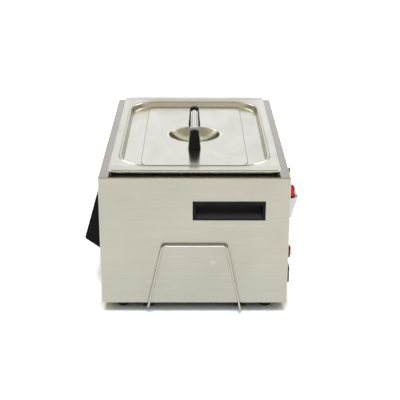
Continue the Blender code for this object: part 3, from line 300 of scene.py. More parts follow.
def spun_steel(name, colour, roughness):
    """A pressed bowl with an even satin polish and faint rings from the buffing wheel."""
    n = Nodes(name)
    smear = n.noise(30, 3, (1, 1, 1), 0.5, 0.3)
    fine = n.noise(1400, 3, (1, 1, 0.05), 0.6)
    tone = n.mix(n.between(fine, 0, 0.10, 0.35, 0.65), colour, dimmed(colour, 0.8))
    rough = n.between(smear, roughness * 0.9, roughness * 1.15, 0.3, 0.7)
    n.set(Base_Color=tone, Metallic=1.0, Roughness=rough, Normal=n.bump(fine, 0.005 * MM, 0.2))
    return n


def drawn_wire(name, colour):
    """Drawn wire, half polished, with a dull edge tint."""
    n = polished(name, colour, 0.12)
    n.set(Specular_Tint=(0.12, 0.09, 0.06, 1))
    return n


def moulded_plastic(name, colour, roughness=0.45, grain=0.03, scale=1500.0, lift=0.05, specular=0.5):
    """Moulded plastic: spark-eroded texture, uneven gloss, a little dust and paler worn edges."""
    n = Nodes(name)
    texture = n.noise(scale, 3, (1, 1, 1), 0.6)
    pores = n.cells(scale * 0.8)
    patch = n.noise(22, 4)
    dust = n.between(n.noise(160, 6, (1, 1, 1), 0.7), 0, 1, 0.58, 0.78)
    tone = n.mix(n.between(patch, 0, 0.5, 0.3, 0.7), colour, dimmed(colour, 0.65))
    tone = n.mix(n.product(dust, lift), tone, lifted(colour, 0.25))
    tone = n.mix(n.product(n.edges(0.7 * MM), lift * 2.4), tone, lifted(colour, 0.10, 1.6))
    uneven = n.between(texture, roughness * 0.85, roughness * 1.2, 0.3, 0.7)
    n.set(
        Base_Color=tone, Roughness=n.math("ADD", uneven, n.product(dust, 0.1)),
        Specular_IOR_Level=specular,
        Normal=n.bump(n.math("ADD", texture, n.product(pores, 0.6)), grain * MM, 0.5),
    )
    return n


def plastic_with_painted_toplight(name, colour):
    """Matt plastic, paler where it faces up: painted light from above."""
    n = moulded_plastic(name, colour, 0.42, lift=0.02, specular=0.08)
    up = n.parts(n.add("NewGeometry").outputs["Normal"])[2]
    # Up-facing faces lifted paler: painted light.
    n.set(Base_Color=n.mix(n.between(up, 0, 1, 0.25, 0.75), n.tone(), lifted(colour, 0.018)))
    return n


def gloss_plastic(name, colour):
    """Polished plastic whose sheen grows towards grazing views."""
    n = moulded_plastic(name, colour, 0.10, 0.003, 700, 0.01)
    grazing = n.add("LayerWeight").outputs["Facing"]
    sheen = n.between(grazing, 0.13, 1.0, 0.30, 0.65)
    n.set(Specular_IOR_Level=sheen, Specular_Tint=(0.92, 0.92, 1.0, 1), IOR=1.8)
    return n


def rubber(name, colour, roughness=0.75):
    """Matt rubber with a pale bloom."""
    n = Nodes(name)
    texture = n.noise(900, 5, (1, 1, 1), 0.7)
    bloom = n.between(n.noise(60, 5), 0, 1, 0.45, 0.75)
    tone = n.mix(n.product(bloom, 0.10), colour, lifted(colour, 0.20))
    rough = n.between(texture, roughness - 0.1, roughness + 0.12, 0.3, 0.7)
    n.set(Base_Color=tone, Roughness=rough, Normal=n.bump(texture, 0.05 * MM, 0.5))
    return n


def plated(name, colour, roughness=0.32):
    """Small metal fittings: plating with mottled tone and machining marks."""
    n = Nodes(name)
    mottle = n.noise(350, 4)
    rings = n.noise(1800, 2, (1, 1, 0.05))
    tone = n.mix(n.between(mottle, 0, 0.5, 0.35, 0.7), colour, dimmed(colour, 0.7))
    rough = n.between(mottle, roughness * 0.7, roughness * 1.4, 0.3, 0.7)
    n.set(Base_Color=tone, Metallic=1.0, Roughness=rough, Normal=n.bump(rings, 0.02 * MM, 0.4))
    return n


def woven(name, colour, pitch):
    """A cloth-faced sheet: two crossed sets of threads."""
    n = Nodes(name)
    heights = []
    for axis in ("X", "Y"):
        wave = n.add("TexWave", wave_type="BANDS", bands_direction=axis)
        n.plug(n.where, wave.inputs["Vector"])
        wave.inputs["Scale"].default_value = 1 / pitch / 6.3
        wave.inputs["Distortion"].default_value = 0.6
        heights.append(wave.outputs["Fac"])
    height = n.math("MAXIMUM", *heights)
    patch = n.noise(30, 4)
    # The hollows between the threads are darker: painted shade.
    tone = n.mix(n.between(height, 0.0, 0.6), dimmed(colour, 0.55), colour)
    tone = n.mix(n.between(patch, 0, 0.3, 0.3, 0.7), tone, dimmed(colour, 0.7))
    n.set(Base_Color=tone, Roughness=0.8, Normal=n.bump(height, 0.2 * MM, 0.6), Sheen_Weight=0.2)
    return n


def felt(name, colour):
    """Loose fibres, laid flat."""
    n = Nodes(name)
    fibre = n.noise(420, 6, (1, 1, 0.4), 0.75, 1.5)
    tone = n.mix(n.between(fibre, 0, 0.7, 0.3, 0.7), colour, dimmed(colour, 0.6))
    n.set(Base_Color=tone, Roughness=0.95, Normal=n.bump(fibre, 0.6 * MM, 0.8), Sheen_Weight=0.4)
    return n


def circuit_board(name):
    """Green lacquer with paler tracks and tinned pads."""
    n = Nodes(name)
    tracks = n.between(n.cells(180, (1, 0.5, 1), "DISTANCE_TO_EDGE"), 1, 0, 0.04, 0.07)
    pads = n.between(n.cells(260), 1, 0, 0.10, 0.13)
    tone = n.mix(n.product(tracks, 0.5), (0.015, 0.11, 0.04), (0.03, 0.22, 0.08))
    tone = n.mix(n.product(pads, 0.8), tone, (0.6, 0.58, 0.5))
    n.set(
        Base_Color=tone, Roughness=n.between(tracks, 0.35, 0.5), Metallic=n.product(pads, 0.8),
        Normal=n.bump(tracks, 0.05 * MM, 0.5),
    )
    return n


def silicone(name, colour):
    """Cloudy, slightly translucent rubber."""
    n = rubber(name, colour, 0.5)
    n.set(Subsurface_Weight=0.3, Subsurface_Radius=(0.004, 0.003, 0.002), Specular_IOR_Level=0.6)
    return n


def lit_plastic(name, colour, glow):
    """Translucent red plastic with a lamp behind it."""
    n = moulded_plastic(name, colour, 0.2, 0.01, 900, 0.03)
    n.set(Emission_Color=(*colour, 1), Emission_Strength=glow, Coat_Weight=0.4, Coat_Roughness=0.1)
    return n


def glassy(name, colour, transmission):
    """Clear or smoked glazing with finger smears."""
    n = Nodes(name)
    rough = n.between(n.noise(80, 4), 0.02, 0.10, 0.3, 0.7)
    n.set(
        Base_Color=(*colour, 1), Roughness=rough, Transmission_Weight=transmission, IOR=1.49,
        Coat_Weight=0.5,
    )
    return n


LOOKS = {
    "end_wall": brushed_steel("end_wall_steel", (0.382, 0.372, 0.328), "along_y", spots=SPOT_WELDS),
    "side_wall": brushed_steel("side_wall_steel", (0.385, 0.378, 0.332), "along_x"),
    "deck": deck_with_painted_shade("deck_steel", (0.395, 0.385, 0.36)),
    # A much paler copy of the wall steel for the rolled bends: a painted highlight.
    "bend": brushed_steel("bend_steel_painted_highlight", (0.80, 0.78, 0.71), "along_y", 0.5),
    # Near-black steel under the bath: painted shade.
    "underside": brushed_steel("underside_painted_shade", (0.04, 0.04, 0.04), "along_x", 0.5),
    "inside": brushed_steel("inner_steel", (0.42, 0.41, 0.38), "along_x", 0.4),
    "lid": satin_steel("lid_steel", (0.815, 0.815, 0.78)),
    # A darker copy of the lid's steel on its rim: painted shade.
    "rim": satin_steel("rim_steel_painted_shade", (0.73, 0.73, 0.69)),
    # The well's own spun polish, in a brighter copy of the lid's steel: partly painted light.
    "well": spun_steel("well_steel_painted_light", (0.96, 0.95, 0.90), 0.19),
    # A much darker copy of the lid's steel on its skirt: painted shade.
    "lip": satin_steel("lip_steel_painted_shade", (0.44, 0.435, 0.40), 0.22),
    "tank": satin_steel("tank_steel", (0.62, 0.61, 0.58), 0.26),
    "bar": polished("handle_bar_steel", (0.76, 0.76, 0.74)),
    "wire": drawn_wire("wire_steel", (0.40, 0.385, 0.33)),
    "chrome": polished("tap_chrome", (0.335, 0.345, 0.37), 0.10),
    "collar": plated("collar_steel", (0.45, 0.46, 0.48), 0.3),
    "black": moulded_plastic("black_plastic", (0.008, 0.008, 0.009), 0.42, lift=0.02, specular=0.10),
    "cup": plastic_with_painted_toplight("cup_plastic", (0.007, 0.007, 0.008)),
    "wedge": moulded_plastic("wedge_plastic", (0.005, 0.005, 0.006), 0.38, lift=0.01, specular=0.06),
    "gloss_black": gloss_plastic("gloss_black_plastic", (0.003, 0.003, 0.004)),
    "fascia": moulded_plastic("fascia_film", (0.010, 0.010, 0.012), 0.22, 0.006, 1100, 0.02),
    "grey": moulded_plastic("grey_plastic", (0.20, 0.205, 0.21), 0.45),
    "red": moulded_plastic("red_vinyl", (0.42, 0.003, 0.006), 0.28, 0.015, 800, 0.02, 0.15),
    "lens_red": lit_plastic("rocker_red", (0.80, 0.40, 0.36), 0.35),
    "rubber": rubber("foot_rubber", (0.014, 0.014, 0.014)),
    "silicone": silicone("clear_silicone", (0.70, 0.68, 0.62)),
    "zinc": plated("zinc_plating", (0.55, 0.55, 0.57)),
    "brass": plated("machined_brass", (0.62, 0.43, 0.16), 0.28),
    "board": circuit_board("board_green"),
    "felt": felt("insulation_felt", (0.62, 0.60, 0.52)),
    "heater": woven("heater_silicone", (0.55, 0.15, 0.04), 0.8 * MM),
    "sleeve": moulded_plastic("wire_sleeve", (0.28, 0.12, 0.05), 0.4, 0.01, 900, 0.05),
    "white_sleeve": moulded_plastic("white_sleeve", (0.62, 0.61, 0.57), 0.4, 0.01, 900, 0.05),
    "smoked": glassy("smoked_lens", (0.10, 0.02, 0.02), 0.85),
    "fuse_glass": glassy("fuse_glass", (0.9, 0.95, 0.95), 0.9),
    "print": moulded_plastic("white_print", (0.60, 0.60, 0.58), 0.5, 0.005, 1200, 0.02),
    "digits": lit_plastic("display_digits", (0.95, 0.10, 0.05), 3.0),
}

MATERIALS = {key: look.material for key, look in LOOKS.items()}


# ---- mesh work


def link(name, data):
    obj = bpy.data.objects.new(name, data)
    bpy.context.scene.collection.objects.link(obj)
    return obj


def shaded(mesh):
    mesh.shade_smooth()
    mesh.set_sharp_from_angle(angle=math.radians(32))
    return mesh


def to_mesh(name, bm):
    mesh = bpy.data.meshes.new(name)
    bm.to_mesh(mesh)
    bm.free()
    return shaded(mesh)


def baked(obj):
    """The object with its modifiers applied, as a mesh object with the same name."""
    bpy.context.view_layer.update()
    graph = bpy.context.evaluated_depsgraph_get()
    mesh = bpy.data.meshes.new_from_object(obj.evaluated_get(graph))
    mesh.transform(obj.matrix_world)
    name = obj.name
    bpy.data.objects.remove(obj)
    mesh.name = name
    return link(name, shaded(mesh))


def flat_shaded_sheets(obj):
    """Vertex normals that follow the large faces, so that flat sheet between bends shades flat."""
    name = obj.name
    modifier = obj.modifiers.new("normals", "WEIGHTED_NORMAL")
    modifier.keep_sharp = True
    modifier.weight = 100
    bpy.context.view_layer.update()
    mesh = bpy.data.meshes.new_from_object(obj.evaluated_get(bpy.context.evaluated_depsgraph_get()))
    obj.modifiers.clear()
    obj.data = mesh
    mesh.name = name


def show(obj, material, body, *nodes, slot=None):
    """Gives the piece its material and body, and hides the CAD nodes that it stands for."""
    flat_shaded_sheets(obj)
    if material:
        obj.data.materials.clear()
        obj.data.materials.append(MATERIALS[material])
    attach(obj, body)
    if nodes:
        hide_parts(*nodes)
    return obj


def combined(obj, others, operation="DIFFERENCE"):
    for other in others:
        modifier = obj.modifiers.new(other.name, "BOOLEAN")
        modifier.operation = operation
        modifier.object = other
        modifier.solver = "EXACT"
    result = baked(obj)
    for other in others:
        bpy.data.objects.remove(other)
    return result


def bevelled(obj, width):
    modifier = obj.modifiers.new("edges", "BEVEL")
    modifier.width = width
    modifier.segments = 3
    modifier.limit_method = "ANGLE"
    modifier.angle_limit = math.radians(35)
    return baked(obj)


def thickened(obj, thickness):
    modifier = obj.modifiers.new("sheet", "SOLIDIFY")
    modifier.thickness = thickness
    modifier.offset = -1
    modifier.use_even_offset = True
    return baked(obj)


def block(name, size, centre):
    bm = bmesh.new()
    bmesh.ops.create_cube(bm, size=1, matrix=Matrix.Translation(centre) @ Matrix.Diagonal((*size, 1)))
    return link(name, to_mesh(name, bm))


def turn_to(axis):
    return Vector((0, 0, 1)).rotation_difference(Vector(axis)).to_matrix()


def rod(name, radius, length, centre, axis=(0, 0, 1)):
    bm = bmesh.new()
    matrix = Matrix.Translation(centre) @ turn_to(axis).to_4x4()
    bmesh.ops.create_cone(
        bm, cap_ends=True, segments=ROUND_SIDES, radius1=radius, radius2=radius, depth=length, matrix=matrix
    )
    return link(name, to_mesh(name, bm))


def turned(name, profile, centre, axis=(0, 0, 1), closed=False):
    """(radius, height) points, down the outer side, turned about the axis through the centre."""
    mesh = bpy.data.meshes.new(name)
    last = len(profile) - 1
    edges = [(i, i + 1) for i in range(last)] + ([(last, 0)] if closed else [])
    mesh.from_pydata([(radius, 0, height) for radius, height in profile], edges, [])
    obj = link(name, mesh)
    modifier = obj.modifiers.new("turn", "SCREW")
    modifier.steps = modifier.render_steps = ROUND_SIDES
    modifier.use_merge_vertices = True
    modifier.merge_threshold = 0.002 * MM
    obj.matrix_world = Matrix.Translation(centre) @ turn_to(axis).to_4x4()
    return baked(obj)


def arc(centre, radius, start, end, steps=6):
    """(x, y) points round a centre, from one angle in degrees to another."""
    points = []
    for step in range(steps + 1):
        angle = math.radians(start + (end - start) * step / steps)
        points.append((centre[0] + radius * math.cos(angle), centre[1] + radius * math.sin(angle)))
    return points


def quarter_turn(steps, first=0):
    """(1 - sin, 1 - cos) along a quarter circle, for a rolled edge of radius 1."""
    angles = [math.pi / 2 * step / steps for step in range(first, steps + 1)]
    return [(1 - math.sin(angle), 1 - math.cos(angle)) for angle in angles]


def ring(half_x, half_y, radius, z, centre, steps=FINE):
    """A rectangle with round corners, at one height."""
    points = []
    for corner, (side_x, side_y) in enumerate([(1, 1), (-1, 1), (-1, -1), (1, -1)]):
        for step in range(steps + 1):
            angle = math.pi / 2 * (corner + step / steps)
            x = centre[0] + side_x * (half_x - radius) + radius * math.cos(angle)
            y = centre[1] + side_y * (half_y - radius) + radius * math.sin(angle)
            points.append(Vector((x, y, z)))
    return points


def inset_ring(base, inward, z, centre=CENTRE):
    """A ring inside (half length, half width, corner radius), whose corners never get quite sharp."""
    half_x, half_y, radius = base
    return ring(half_x - inward, half_y - inward, max(radius - inward, 0.35 * MM), z, centre)


def circle(radius, z, centre):
    """A circle with as many points as a ring."""
    count = 4 * (FINE + 1)
    turns = [2 * math.pi * (index + 0.5) / count for index in range(count)]
    return [Vector((centre[0] + radius * math.cos(t), centre[1] + radius * math.sin(t), z)) for t in turns]


def lofted(name, rings, cap_first=False, cap_last=False):
    """A skin over the rings, facing up where they grow and outwards where they go down."""
    bm = bmesh.new()
    loops = [[bm.verts.new(point) for point in points] for points in rings]
    count = len(loops[0])
    for inner, outer in zip(loops, loops[1:]):
        for index in range(count):
            after = (index + 1) % count
            bm.faces.new((inner[index], outer[index], outer[after], inner[after]))
    if cap_first:
        bm.faces.new(loops[0])
    if cap_last:
        bm.faces.new(reversed(loops[-1]))
    return link(name, to_mesh(name, bm))


def tube(name, points, radius):
    curve = bpy.data.curves.new(name, "CURVE")
    curve.dimensions = "3D"
    curve.bevel_depth = radius
    curve.bevel_resolution = 8
    curve.use_fill_caps = True
    spline = curve.splines.new("POLY")
    spline.points.add(len(points) - 1)
    for point, where in zip(spline.points, points):
        point.co = (*where, 1)
    return link(name, curve)


def with_bends(corners, radius, steps=10):
    """The line through the corners, with an arc at each inner one."""
    points = [Vector(corners[0])]
    for before, corner, after in zip(corners, corners[1:], corners[2:]):
        corner = Vector(corner)
        back = (Vector(before) - corner).normalized()
        forward = (Vector(after) - corner).normalized()
        half = back.angle(forward) / 2
        centre = corner + (back + forward).normalized() * radius / math.sin(half)
        reach = radius / math.tan(half)
        start = corner + back * reach - centre
        end = corner + forward * reach - centre
        points += [centre + start.slerp(end, step / steps) * radius for step in range(steps + 1)]
    return points + [Vector(corners[-1])]


def rounded_copy(node, width, material, body, slot):
    """The CAD node's shape with its flat faces merged and its edges rounded."""
    bm = bmesh.new()
    bm.from_mesh(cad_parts[node].data)
    bmesh.ops.remove_doubles(bm, verts=bm.verts, dist=0.005 * MM)
    bmesh.ops.dissolve_limit(bm, angle_limit=math.radians(1), verts=bm.verts, edges=bm.edges)
    obj = link(node + "_shape", to_mesh(node, bm))
    return show(bevelled(obj, width), material, body, node, slot=slot)


def paint_faces(obj, keys, key_of):
    """Gives each face the material that key_of names for its middle and normal."""
    mesh = obj.data
    mesh.materials.clear()
    for key in keys:
        mesh.materials.append(MATERIALS[key])
    for face in mesh.polygons:
        face.material_index = keys.index(key_of(face.center, face.normal))


# ---- housing


# Half length, half width and corner radius
DECK_OPENING = (256 * MM, 153.5 * MM, 54 * MM)
# Along X, Y and Z
CUP_CUT = (30 * MM, 134.2 * MM, 34 * MM)
SWITCH_CUT = (13.4 * MM, 12 * MM, 19.4 * MM)
INLET_CUT = (27.6 * MM, 12 * MM, 29.2 * MM)
TAP_HOLE_RADIUS = 8.3 * MM
BOLT_HOLE_RADIUS = 2.4 * MM
CLIP_HOLE_RADIUS = 2.9 * MM
SEAM_WIDTH = 1.1 * MM


def housing_sheet():
    """The deck round its opening, the walls with rolled bends, and a flange under the base."""
    bend = 2.5 * MM
    bend_steps = 6
    flange = 56 * MM
    outer = (HALF_LENGTH, HALF_WIDTH, bend)
    rings = [inset_ring(DECK_OPENING, 0, DECK_Z - 0.8 * MM), inset_ring(DECK_OPENING, -0.4 * MM, DECK_Z)]
    rings += [inset_ring(outer, bend * a, DECK_Z - bend * b) for a, b in quarter_turn(bend_steps)]
    rings += [inset_ring(outer, bend * b, BASE_Z + bend * a) for a, b in quarter_turn(bend_steps)]
    rings.append(inset_ring(outer, flange, BASE_Z))
    return thickened(lofted("housing_sheet", rings), SHEET)


def housing_cutters():
    """What is cut from the sheet: openings, bolt holes and the rear wall's seam."""
    wall_y = SHELL_HIGH.y
    cups = {side: middle(f"carry_handle_{side}") for side in ("right", "left")}
    switch = middle("rocker_frame")
    inlet = middle("inlet_body")
    tap = middle("tap_locknut")
    seam_x = BATH_X - 4 * MM
    seam_size = (SEAM_WIDTH, SEAM_WIDTH, SHELL_HIGH.z - SHELL_LOW.z + 10 * MM)
    through = 8 * MM
    cutters = [
        block("cup_cut_right", CUP_CUT, (SHELL_HIGH.x, cups["right"].y, cups["right"].z)),
        block("cup_cut_left", CUP_CUT, (SHELL_LOW.x, cups["left"].y, cups["right"].z)),
        block("switch_cut", SWITCH_CUT, (switch.x, wall_y, switch.z)),
        block("inlet_cut", INLET_CUT, (inlet.x, wall_y, inlet.z)),
        rod("tap_cut", TAP_HOLE_RADIUS, 12 * MM, (tap.x, wall_y, tap.z), (0, 1, 0)),
        block("seam_wall", seam_size, (seam_x, wall_y, (BASE_Z + DECK_Z) / 2)),
        block("seam_deck", (SEAM_WIDTH, 40 * MM, SEAM_WIDTH), (seam_x, wall_y - 5 * MM, DECK_Z)),
    ]
    for index in range(4):
        bolt = middle(f"foot_bolt_{index + 1}")
        cutters.append(rod(f"bolt_cut_{index}", BOLT_HOLE_RADIUS, through, (bolt.x, bolt.y, BASE_Z)))
    for name in ("wire_clip_front", "wire_clip_rear"):
        clip = middle(name)
        cutters.append(rod(name + "_cut", CLIP_HOLE_RADIUS, through, (clip.x, clip.y, BASE_Z)))
    return cutters


def housing_look(at, normal):
    """Which look a face takes: the walls and the deck have their own grain, the underside has painted shade
    and the rolled bends a painted highlight.
    """
    near_wall = 0.8 * MM
    outside = (
        abs(at.x - BATH_X) > HALF_LENGTH - near_wall
        or abs(at.y - BATH_Y) > HALF_WIDTH - near_wall
        or at.z > DECK_Z - 0.5 * MM
    )
    # Down-facing faces take near-black steel: painted shade under the bath.
    if normal.z < -0.9:
        return "underside"
    if not outside:
        return "inside"
    if abs(normal.z) > 0.97:
        return "deck"
    # The rolled bends take a pale copy of the steel: a painted highlight.
    if normal.z > 0.15:
        return "bend"
    return "end_wall" if abs(normal.x) > abs(normal.y) else "side_wall"


def make_housing():
    shell = combined(housing_sheet(), housing_cutters())
    paint_faces(shell, ["end_wall", "side_wall", "deck", "inside", "underside", "bend"], housing_look)
    show(shell, None, "housing", "housing_shell", slot="stainless_housing")


def make_tank():
    low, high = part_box("tank")
    top = high.z
    floor = top - 148.3 * MM
    mouth = (251 * MM, 148.5 * MM, 50 * MM)
    flange = ((high.x - low.x) / 2, (high.y - low.y) / 2, 12 * MM)
    taper = 6 * MM
    fillet = 12 * MM
    bend = 3 * MM
    edge = 1.2 * MM
    rings = [inset_ring(mouth, taper + fillet * a, floor + fillet * b) for a, b in quarter_turn(8)]
    rings.append(inset_ring(mouth, 0, top - bend))
    rings += [inset_ring(mouth, -bend * b, top - bend * a) for a, b in quarter_turn(5, 1)]
    rings += [inset_ring(flange, edge * a, top - edge * b) for a, b in quarter_turn(4)]
    rings.append(inset_ring(flange, 0, top - 4 * MM))
    tank = thickened(lofted("tank_pressing", rings, cap_first=True), SHEET)
    drain = middle("hose_clamp_tank")
    stub_length = 15.5 * MM
    stub = rod("drain_stub", 8 * MM, stub_length, (drain.x, drain.y, floor - 0.4 * MM - stub_length / 2))
    tank = combined(tank, [stub], "UNION")
    bore = rod("drain_bore", 6 * MM, 60 * MM, (drain.x, drain.y, floor))
    show(combined(tank, [bore]), "tank", "housing", "tank", slot="stainless_tank")


# ---- lid

# Half length, half width and corner radius
RECESS = (228 * MM, 143.5 * MM, 58.5 * MM)
PANEL = (207.5 * MM, 103.5 * MM, 27 * MM)
LID_CORNER = 10 * MM
LID_EDGE = 1.3 * MM
LID_SHEET = 0.9 * MM
RECESS_DEPTH = 13 * MM
PANEL_RISE = 2 * MM
WELL_RADIUS = 54.2 * MM
WELL_DEPTH = 24 * MM
# Between the recess and the start of the rim
RECESS_MARGIN = 9 * MM
SCREW_HOLE_RADIUS = 2.3 * MM
SCREW_X = 87.5 * MM

# Distance outwards and rise in mm, from the well's edge, over its rolled lip
WELL_LIP = [
    (0.5, 0.2), (1.1, 0.42), (1.8, 0.5), (2.6, 0.4), (3.4, 0.15), (4.2, 0.0), (5.2, 0.0),
    (5.7, -0.12), (6.2, 0.0), (8.0, 0.0),
]
# Distance inwards and rise in mm, down the panel's step
PANEL_EDGE = [
    (2.0, 0.0), (0.4, 0.0), (0.0, -0.2), (-0.4, -0.8), (-0.8, -1.5), (-1.1, -1.85), (-1.5, -2.0),
    (-3.0, -2.0),
]
# Distance inwards and rise in mm, up the recess's wall and over the bead at its top
RECESS_WALL = [(8.0, 0.0), (5.6, 0.0), (4.9, 0.2), (4.4, 0.6), (4.0, 1.3), (3.4, 2.6)]
RECESS_WALL += arc((-2.6, 7.2), 4.4, 19, 90, 9)
RECESS_WALL += [(-3.2, 11.5), (-4.7, 10.55), (-5.3, 10.45), (-8.2, 10.9), (-9.0, 11.1)]


def well_rings(level, centre):
    """A shallow bowl cut from a sphere, and its lip."""
    steps = 16
    sphere = (WELL_RADIUS ** 2 + WELL_DEPTH ** 2) / (2 * WELL_DEPTH)
    rings = []
    for step in range(1, steps + 1):
        radius = WELL_RADIUS * step / steps
        drop = math.sqrt(sphere ** 2 - radius ** 2) - sphere + WELL_DEPTH
        rings.append(circle(radius, level - drop, centre))
    return rings + [circle(WELL_RADIUS + out * MM, level + rise * MM, centre) for out, rise in WELL_LIP]


def rim_rings(outer, top, centre):
    """From the recess's bead up to the rim, over its edge and down its skirt."""
    steps = 6
    crown = 1.85 * MM
    inner_rim = tuple(size + RECESS_MARGIN for size in RECESS)
    outer_rim = tuple(size - LID_EDGE for size in outer)
    rings = []
    for step in range(1, steps):
        t = step / steps
        base = tuple(a + (b - a) * t for a, b in zip(inner_rim, outer_rim))
        rings.append(inset_ring(base, 0, top - crown * (1 - t) ** 1.4, centre))
    rings += [inset_ring(outer, LID_EDGE * a, top - LID_EDGE * b, centre) for a, b in quarter_turn(5)]
    rings.append(inset_ring(outer, 0, top - 3.4 * MM, centre))
    rings.append(inset_ring(outer, 0.15 * MM, top - 3.9 * MM, centre))
    return rings


def make_lid():
    low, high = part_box("lid")
    top = high.z
    centre = ((low.x + high.x) / 2, (low.y + high.y) / 2)
    outer = ((high.x - low.x) / 2, (high.y - low.y) / 2, LID_CORNER)
    floor = -RECESS_DEPTH
    raised = floor + PANEL_RISE
    rings = well_rings(top + raised, centre)
    rings += [inset_ring(PANEL, a * MM, top + raised + rise * MM, centre) for a, rise in PANEL_EDGE]
    rings += [inset_ring(RECESS, a * MM, top + floor + rise * MM, centre) for a, rise in RECESS_WALL]
    rings += rim_rings(outer, top, centre)
    lid = thickened(lofted("lid_pressing", rings, cap_first=True), LID_SHEET)
    holes = []
    for side in (1, -1):
        at = (centre[0] + side * SCREW_X, centre[1], top + raised)
        holes.append(rod(f"lid_hole_{side}", SCREW_HOLE_RADIUS, 9 * MM, at))
    lid = combined(lid, holes)
    skirt = 0.7 * MM

    # The rim and the skirt take darker copies of the lid's steel (painted shade); the well a brighter one
    # (partly painted light).
    def look(at, _):
        along, across = abs(at.x - centre[0]), abs(at.y - centre[1])
        if math.hypot(along, across) < WELL_RADIUS + 4 * MM:
            return "well"
        if along > outer[0] - skirt or across > outer[1] - skirt:
            return "lip"
        return "rim" if along > RECESS[0] + RECESS_MARGIN else "lid"

    paint_faces(lid, ["lid", "well", "lip", "rim"], look)
    show(lid, None, "lid", "lid", slot="stainless_lid")


# Half length, half width and corner radius in mm, and the height as a share of the foot's
FOOT_SECTIONS = [
    (0.5, 0.3, 0.2, 1.0), (4, 2.8, 2.5, 0.998), (7.5, 5.4, 4.8, 0.99), (11.4, 8.2, 7.4, 0.96),
    (14.4, 9.6, 8.2, 0.88), (16, 10.4, 7.6, 0.68), (18.4, 11.2, 6, 0.4), (20.4, 12.2, 5.2, 0.14),
    (21.3, 12.8, 5, 0.035), (20.7, 12.3, 4.6, 0),
]


def catmull_rom(before, start, end, after, t):
    linear = (end - before) * t
    square = (2 * before - 5 * start + 4 * end - after) * t * t
    cube = (3 * start - before - 3 * end + after) * t ** 3
    return 0.5 * (2 * start + linear + square + cube)


def eased(rows, steps):
    """The rows with Catmull-Rom steps between them."""
    padded = [rows[0], *rows, rows[-1]]
    made = []
    for four in zip(padded, padded[1:], padded[2:], padded[3:]):
        for step in range(steps):
            made.append(tuple(catmull_rom(*values, step / steps) for values in zip(*four)))
    return made + [rows[-1]]


def make_handle_bar():
    """A tube along X with the seam it was rolled with on top."""
    low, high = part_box("handle_bar")
    centre = (low + high) / 2
    radius = (high.z - low.z) / 2
    half = (high.x - low.x) / 2
    chamfer = 0.6 * MM
    seam_width = 1.2 * MM
    seam_depth = 0.5 * MM
    profile = [(0, half), (radius - chamfer, half), (radius, half - chamfer)]
    profile += [(radius, chamfer - half), (radius - chamfer, -half), (0, -half)]
    bar = turned("handle_tube", profile, centre, (1, 0, 0))
    seam = block("tube_seam", (2 * half + 2 * MM, seam_width, seam_depth), (centre.x, centre.y, high.z))
    bar = combined(bar, [seam])

    def look(at, _):
        in_seam = abs(at.y - centre.y) < 0.62 * MM and at.z > high.z - 0.3 * MM
        return "collar" if in_seam else "bar"

    paint_faces(bar, ["bar", "collar"], look)
    show(bar, None, "lid", "handle_bar", slot="bright_steel")


def make_handle_foot(side, name):
    """A moulded foot with a socket for the bar's end and a hole for its screw."""
    bar_low, bar_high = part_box("handle_bar")
    bar = (bar_low + bar_high) / 2
    bar_radius = (bar_high.z - bar_low.z) / 2
    low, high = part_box(f"handle_foot_{name}")
    centre_x = (low.x + high.x) / 2
    bottom = low.z
    height = high.z - low.z
    rings = [
        ring(x * MM, y * MM, r * MM, bottom + height * level, (centre_x, bar.y), 12)
        for x, y, r, level in eased(FOOT_SECTIONS, 4)
    ]
    foot = lofted(f"handle_foot_{name}_moulding", rings, cap_first=True, cap_last=True)
    socket_centre = (bar.x + side * 70.25 * MM, bar.y, bar.z)
    socket = rod(f"socket_{name}", bar_radius + 0.25 * MM, 44 * MM, socket_centre, (1, 0, 0))
    hole = rod(f"foot_hole_{name}", SCREW_HOLE_RADIUS, 26 * MM, (centre_x, bar.y, bottom))
    foot = combined(foot, [socket, hole])
    show(foot, "gloss_black", "lid", f"handle_foot_{name}", slot="gloss_black_plastic")


def make_handle():
    make_handle_bar()
    for side, name in ((1, "right"), (-1, "left")):
        make_handle_foot(side, name)


# ---- ends of the housing


def make_carry_handles():
    for name in ("right", "left"):
        rounded_copy(f"carry_handle_{name}", 0.55 * MM, "cup", "housing", "black_plastic")


def make_wire_rest():
    """One bent wire: its two ends turn in the clips, and one leg's elbow hangs lower than the other."""
    low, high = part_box("wire_rest")
    radius = 2 * MM
    wire_x = high.x - radius
    pivot_x = low.x + radius
    pivot_z = 15.7 * MM
    elbow_z = 8 * MM
    top_z = high.z - radius
    half = 90 * MM
    top_half = 61 * MM
    pin_end = 80 * MM
    tight = 2.2 * MM
    wide = 7 * MM
    corners = [
        (pivot_x, -pin_end, pivot_z), (pivot_x, -half, pivot_z), (wire_x, -half, pivot_z),
        (wire_x, -top_half, top_z), (wire_x, top_half, top_z), (wire_x, half, elbow_z),
        (pivot_x, half, pivot_z), (pivot_x, pin_end, pivot_z),
    ]
    first = with_bends(corners[:4], tight, 8)[:-1]
    last = with_bends(corners[4:], tight, 8)[1:]
    path = first + with_bends(corners[2:6], wide)[1:-1] + last
    path = [point + Vector((0, BATH_Y, 0)) for point in path]
    wire = baked(tube("wire_rest_rod", path, radius))

    def look(at, _):
        # The top bar takes the brighter bar steel: a painted highlight along the wire's top.
        highlit_top = at.z > top_z - radius and abs(at.y - BATH_Y) < top_half - 5 * MM
        return "bar" if highlit_top else "wire"

    paint_faces(wire, ["wire", "bar"], look)
    show(wire, None, "wire_rest", "wire_rest", slot="bright_steel")
    for name in ("front", "rear"):
        rounded_copy(f"wire_clip_{name}", 0.6 * MM, "black", "housing", "black_plastic")


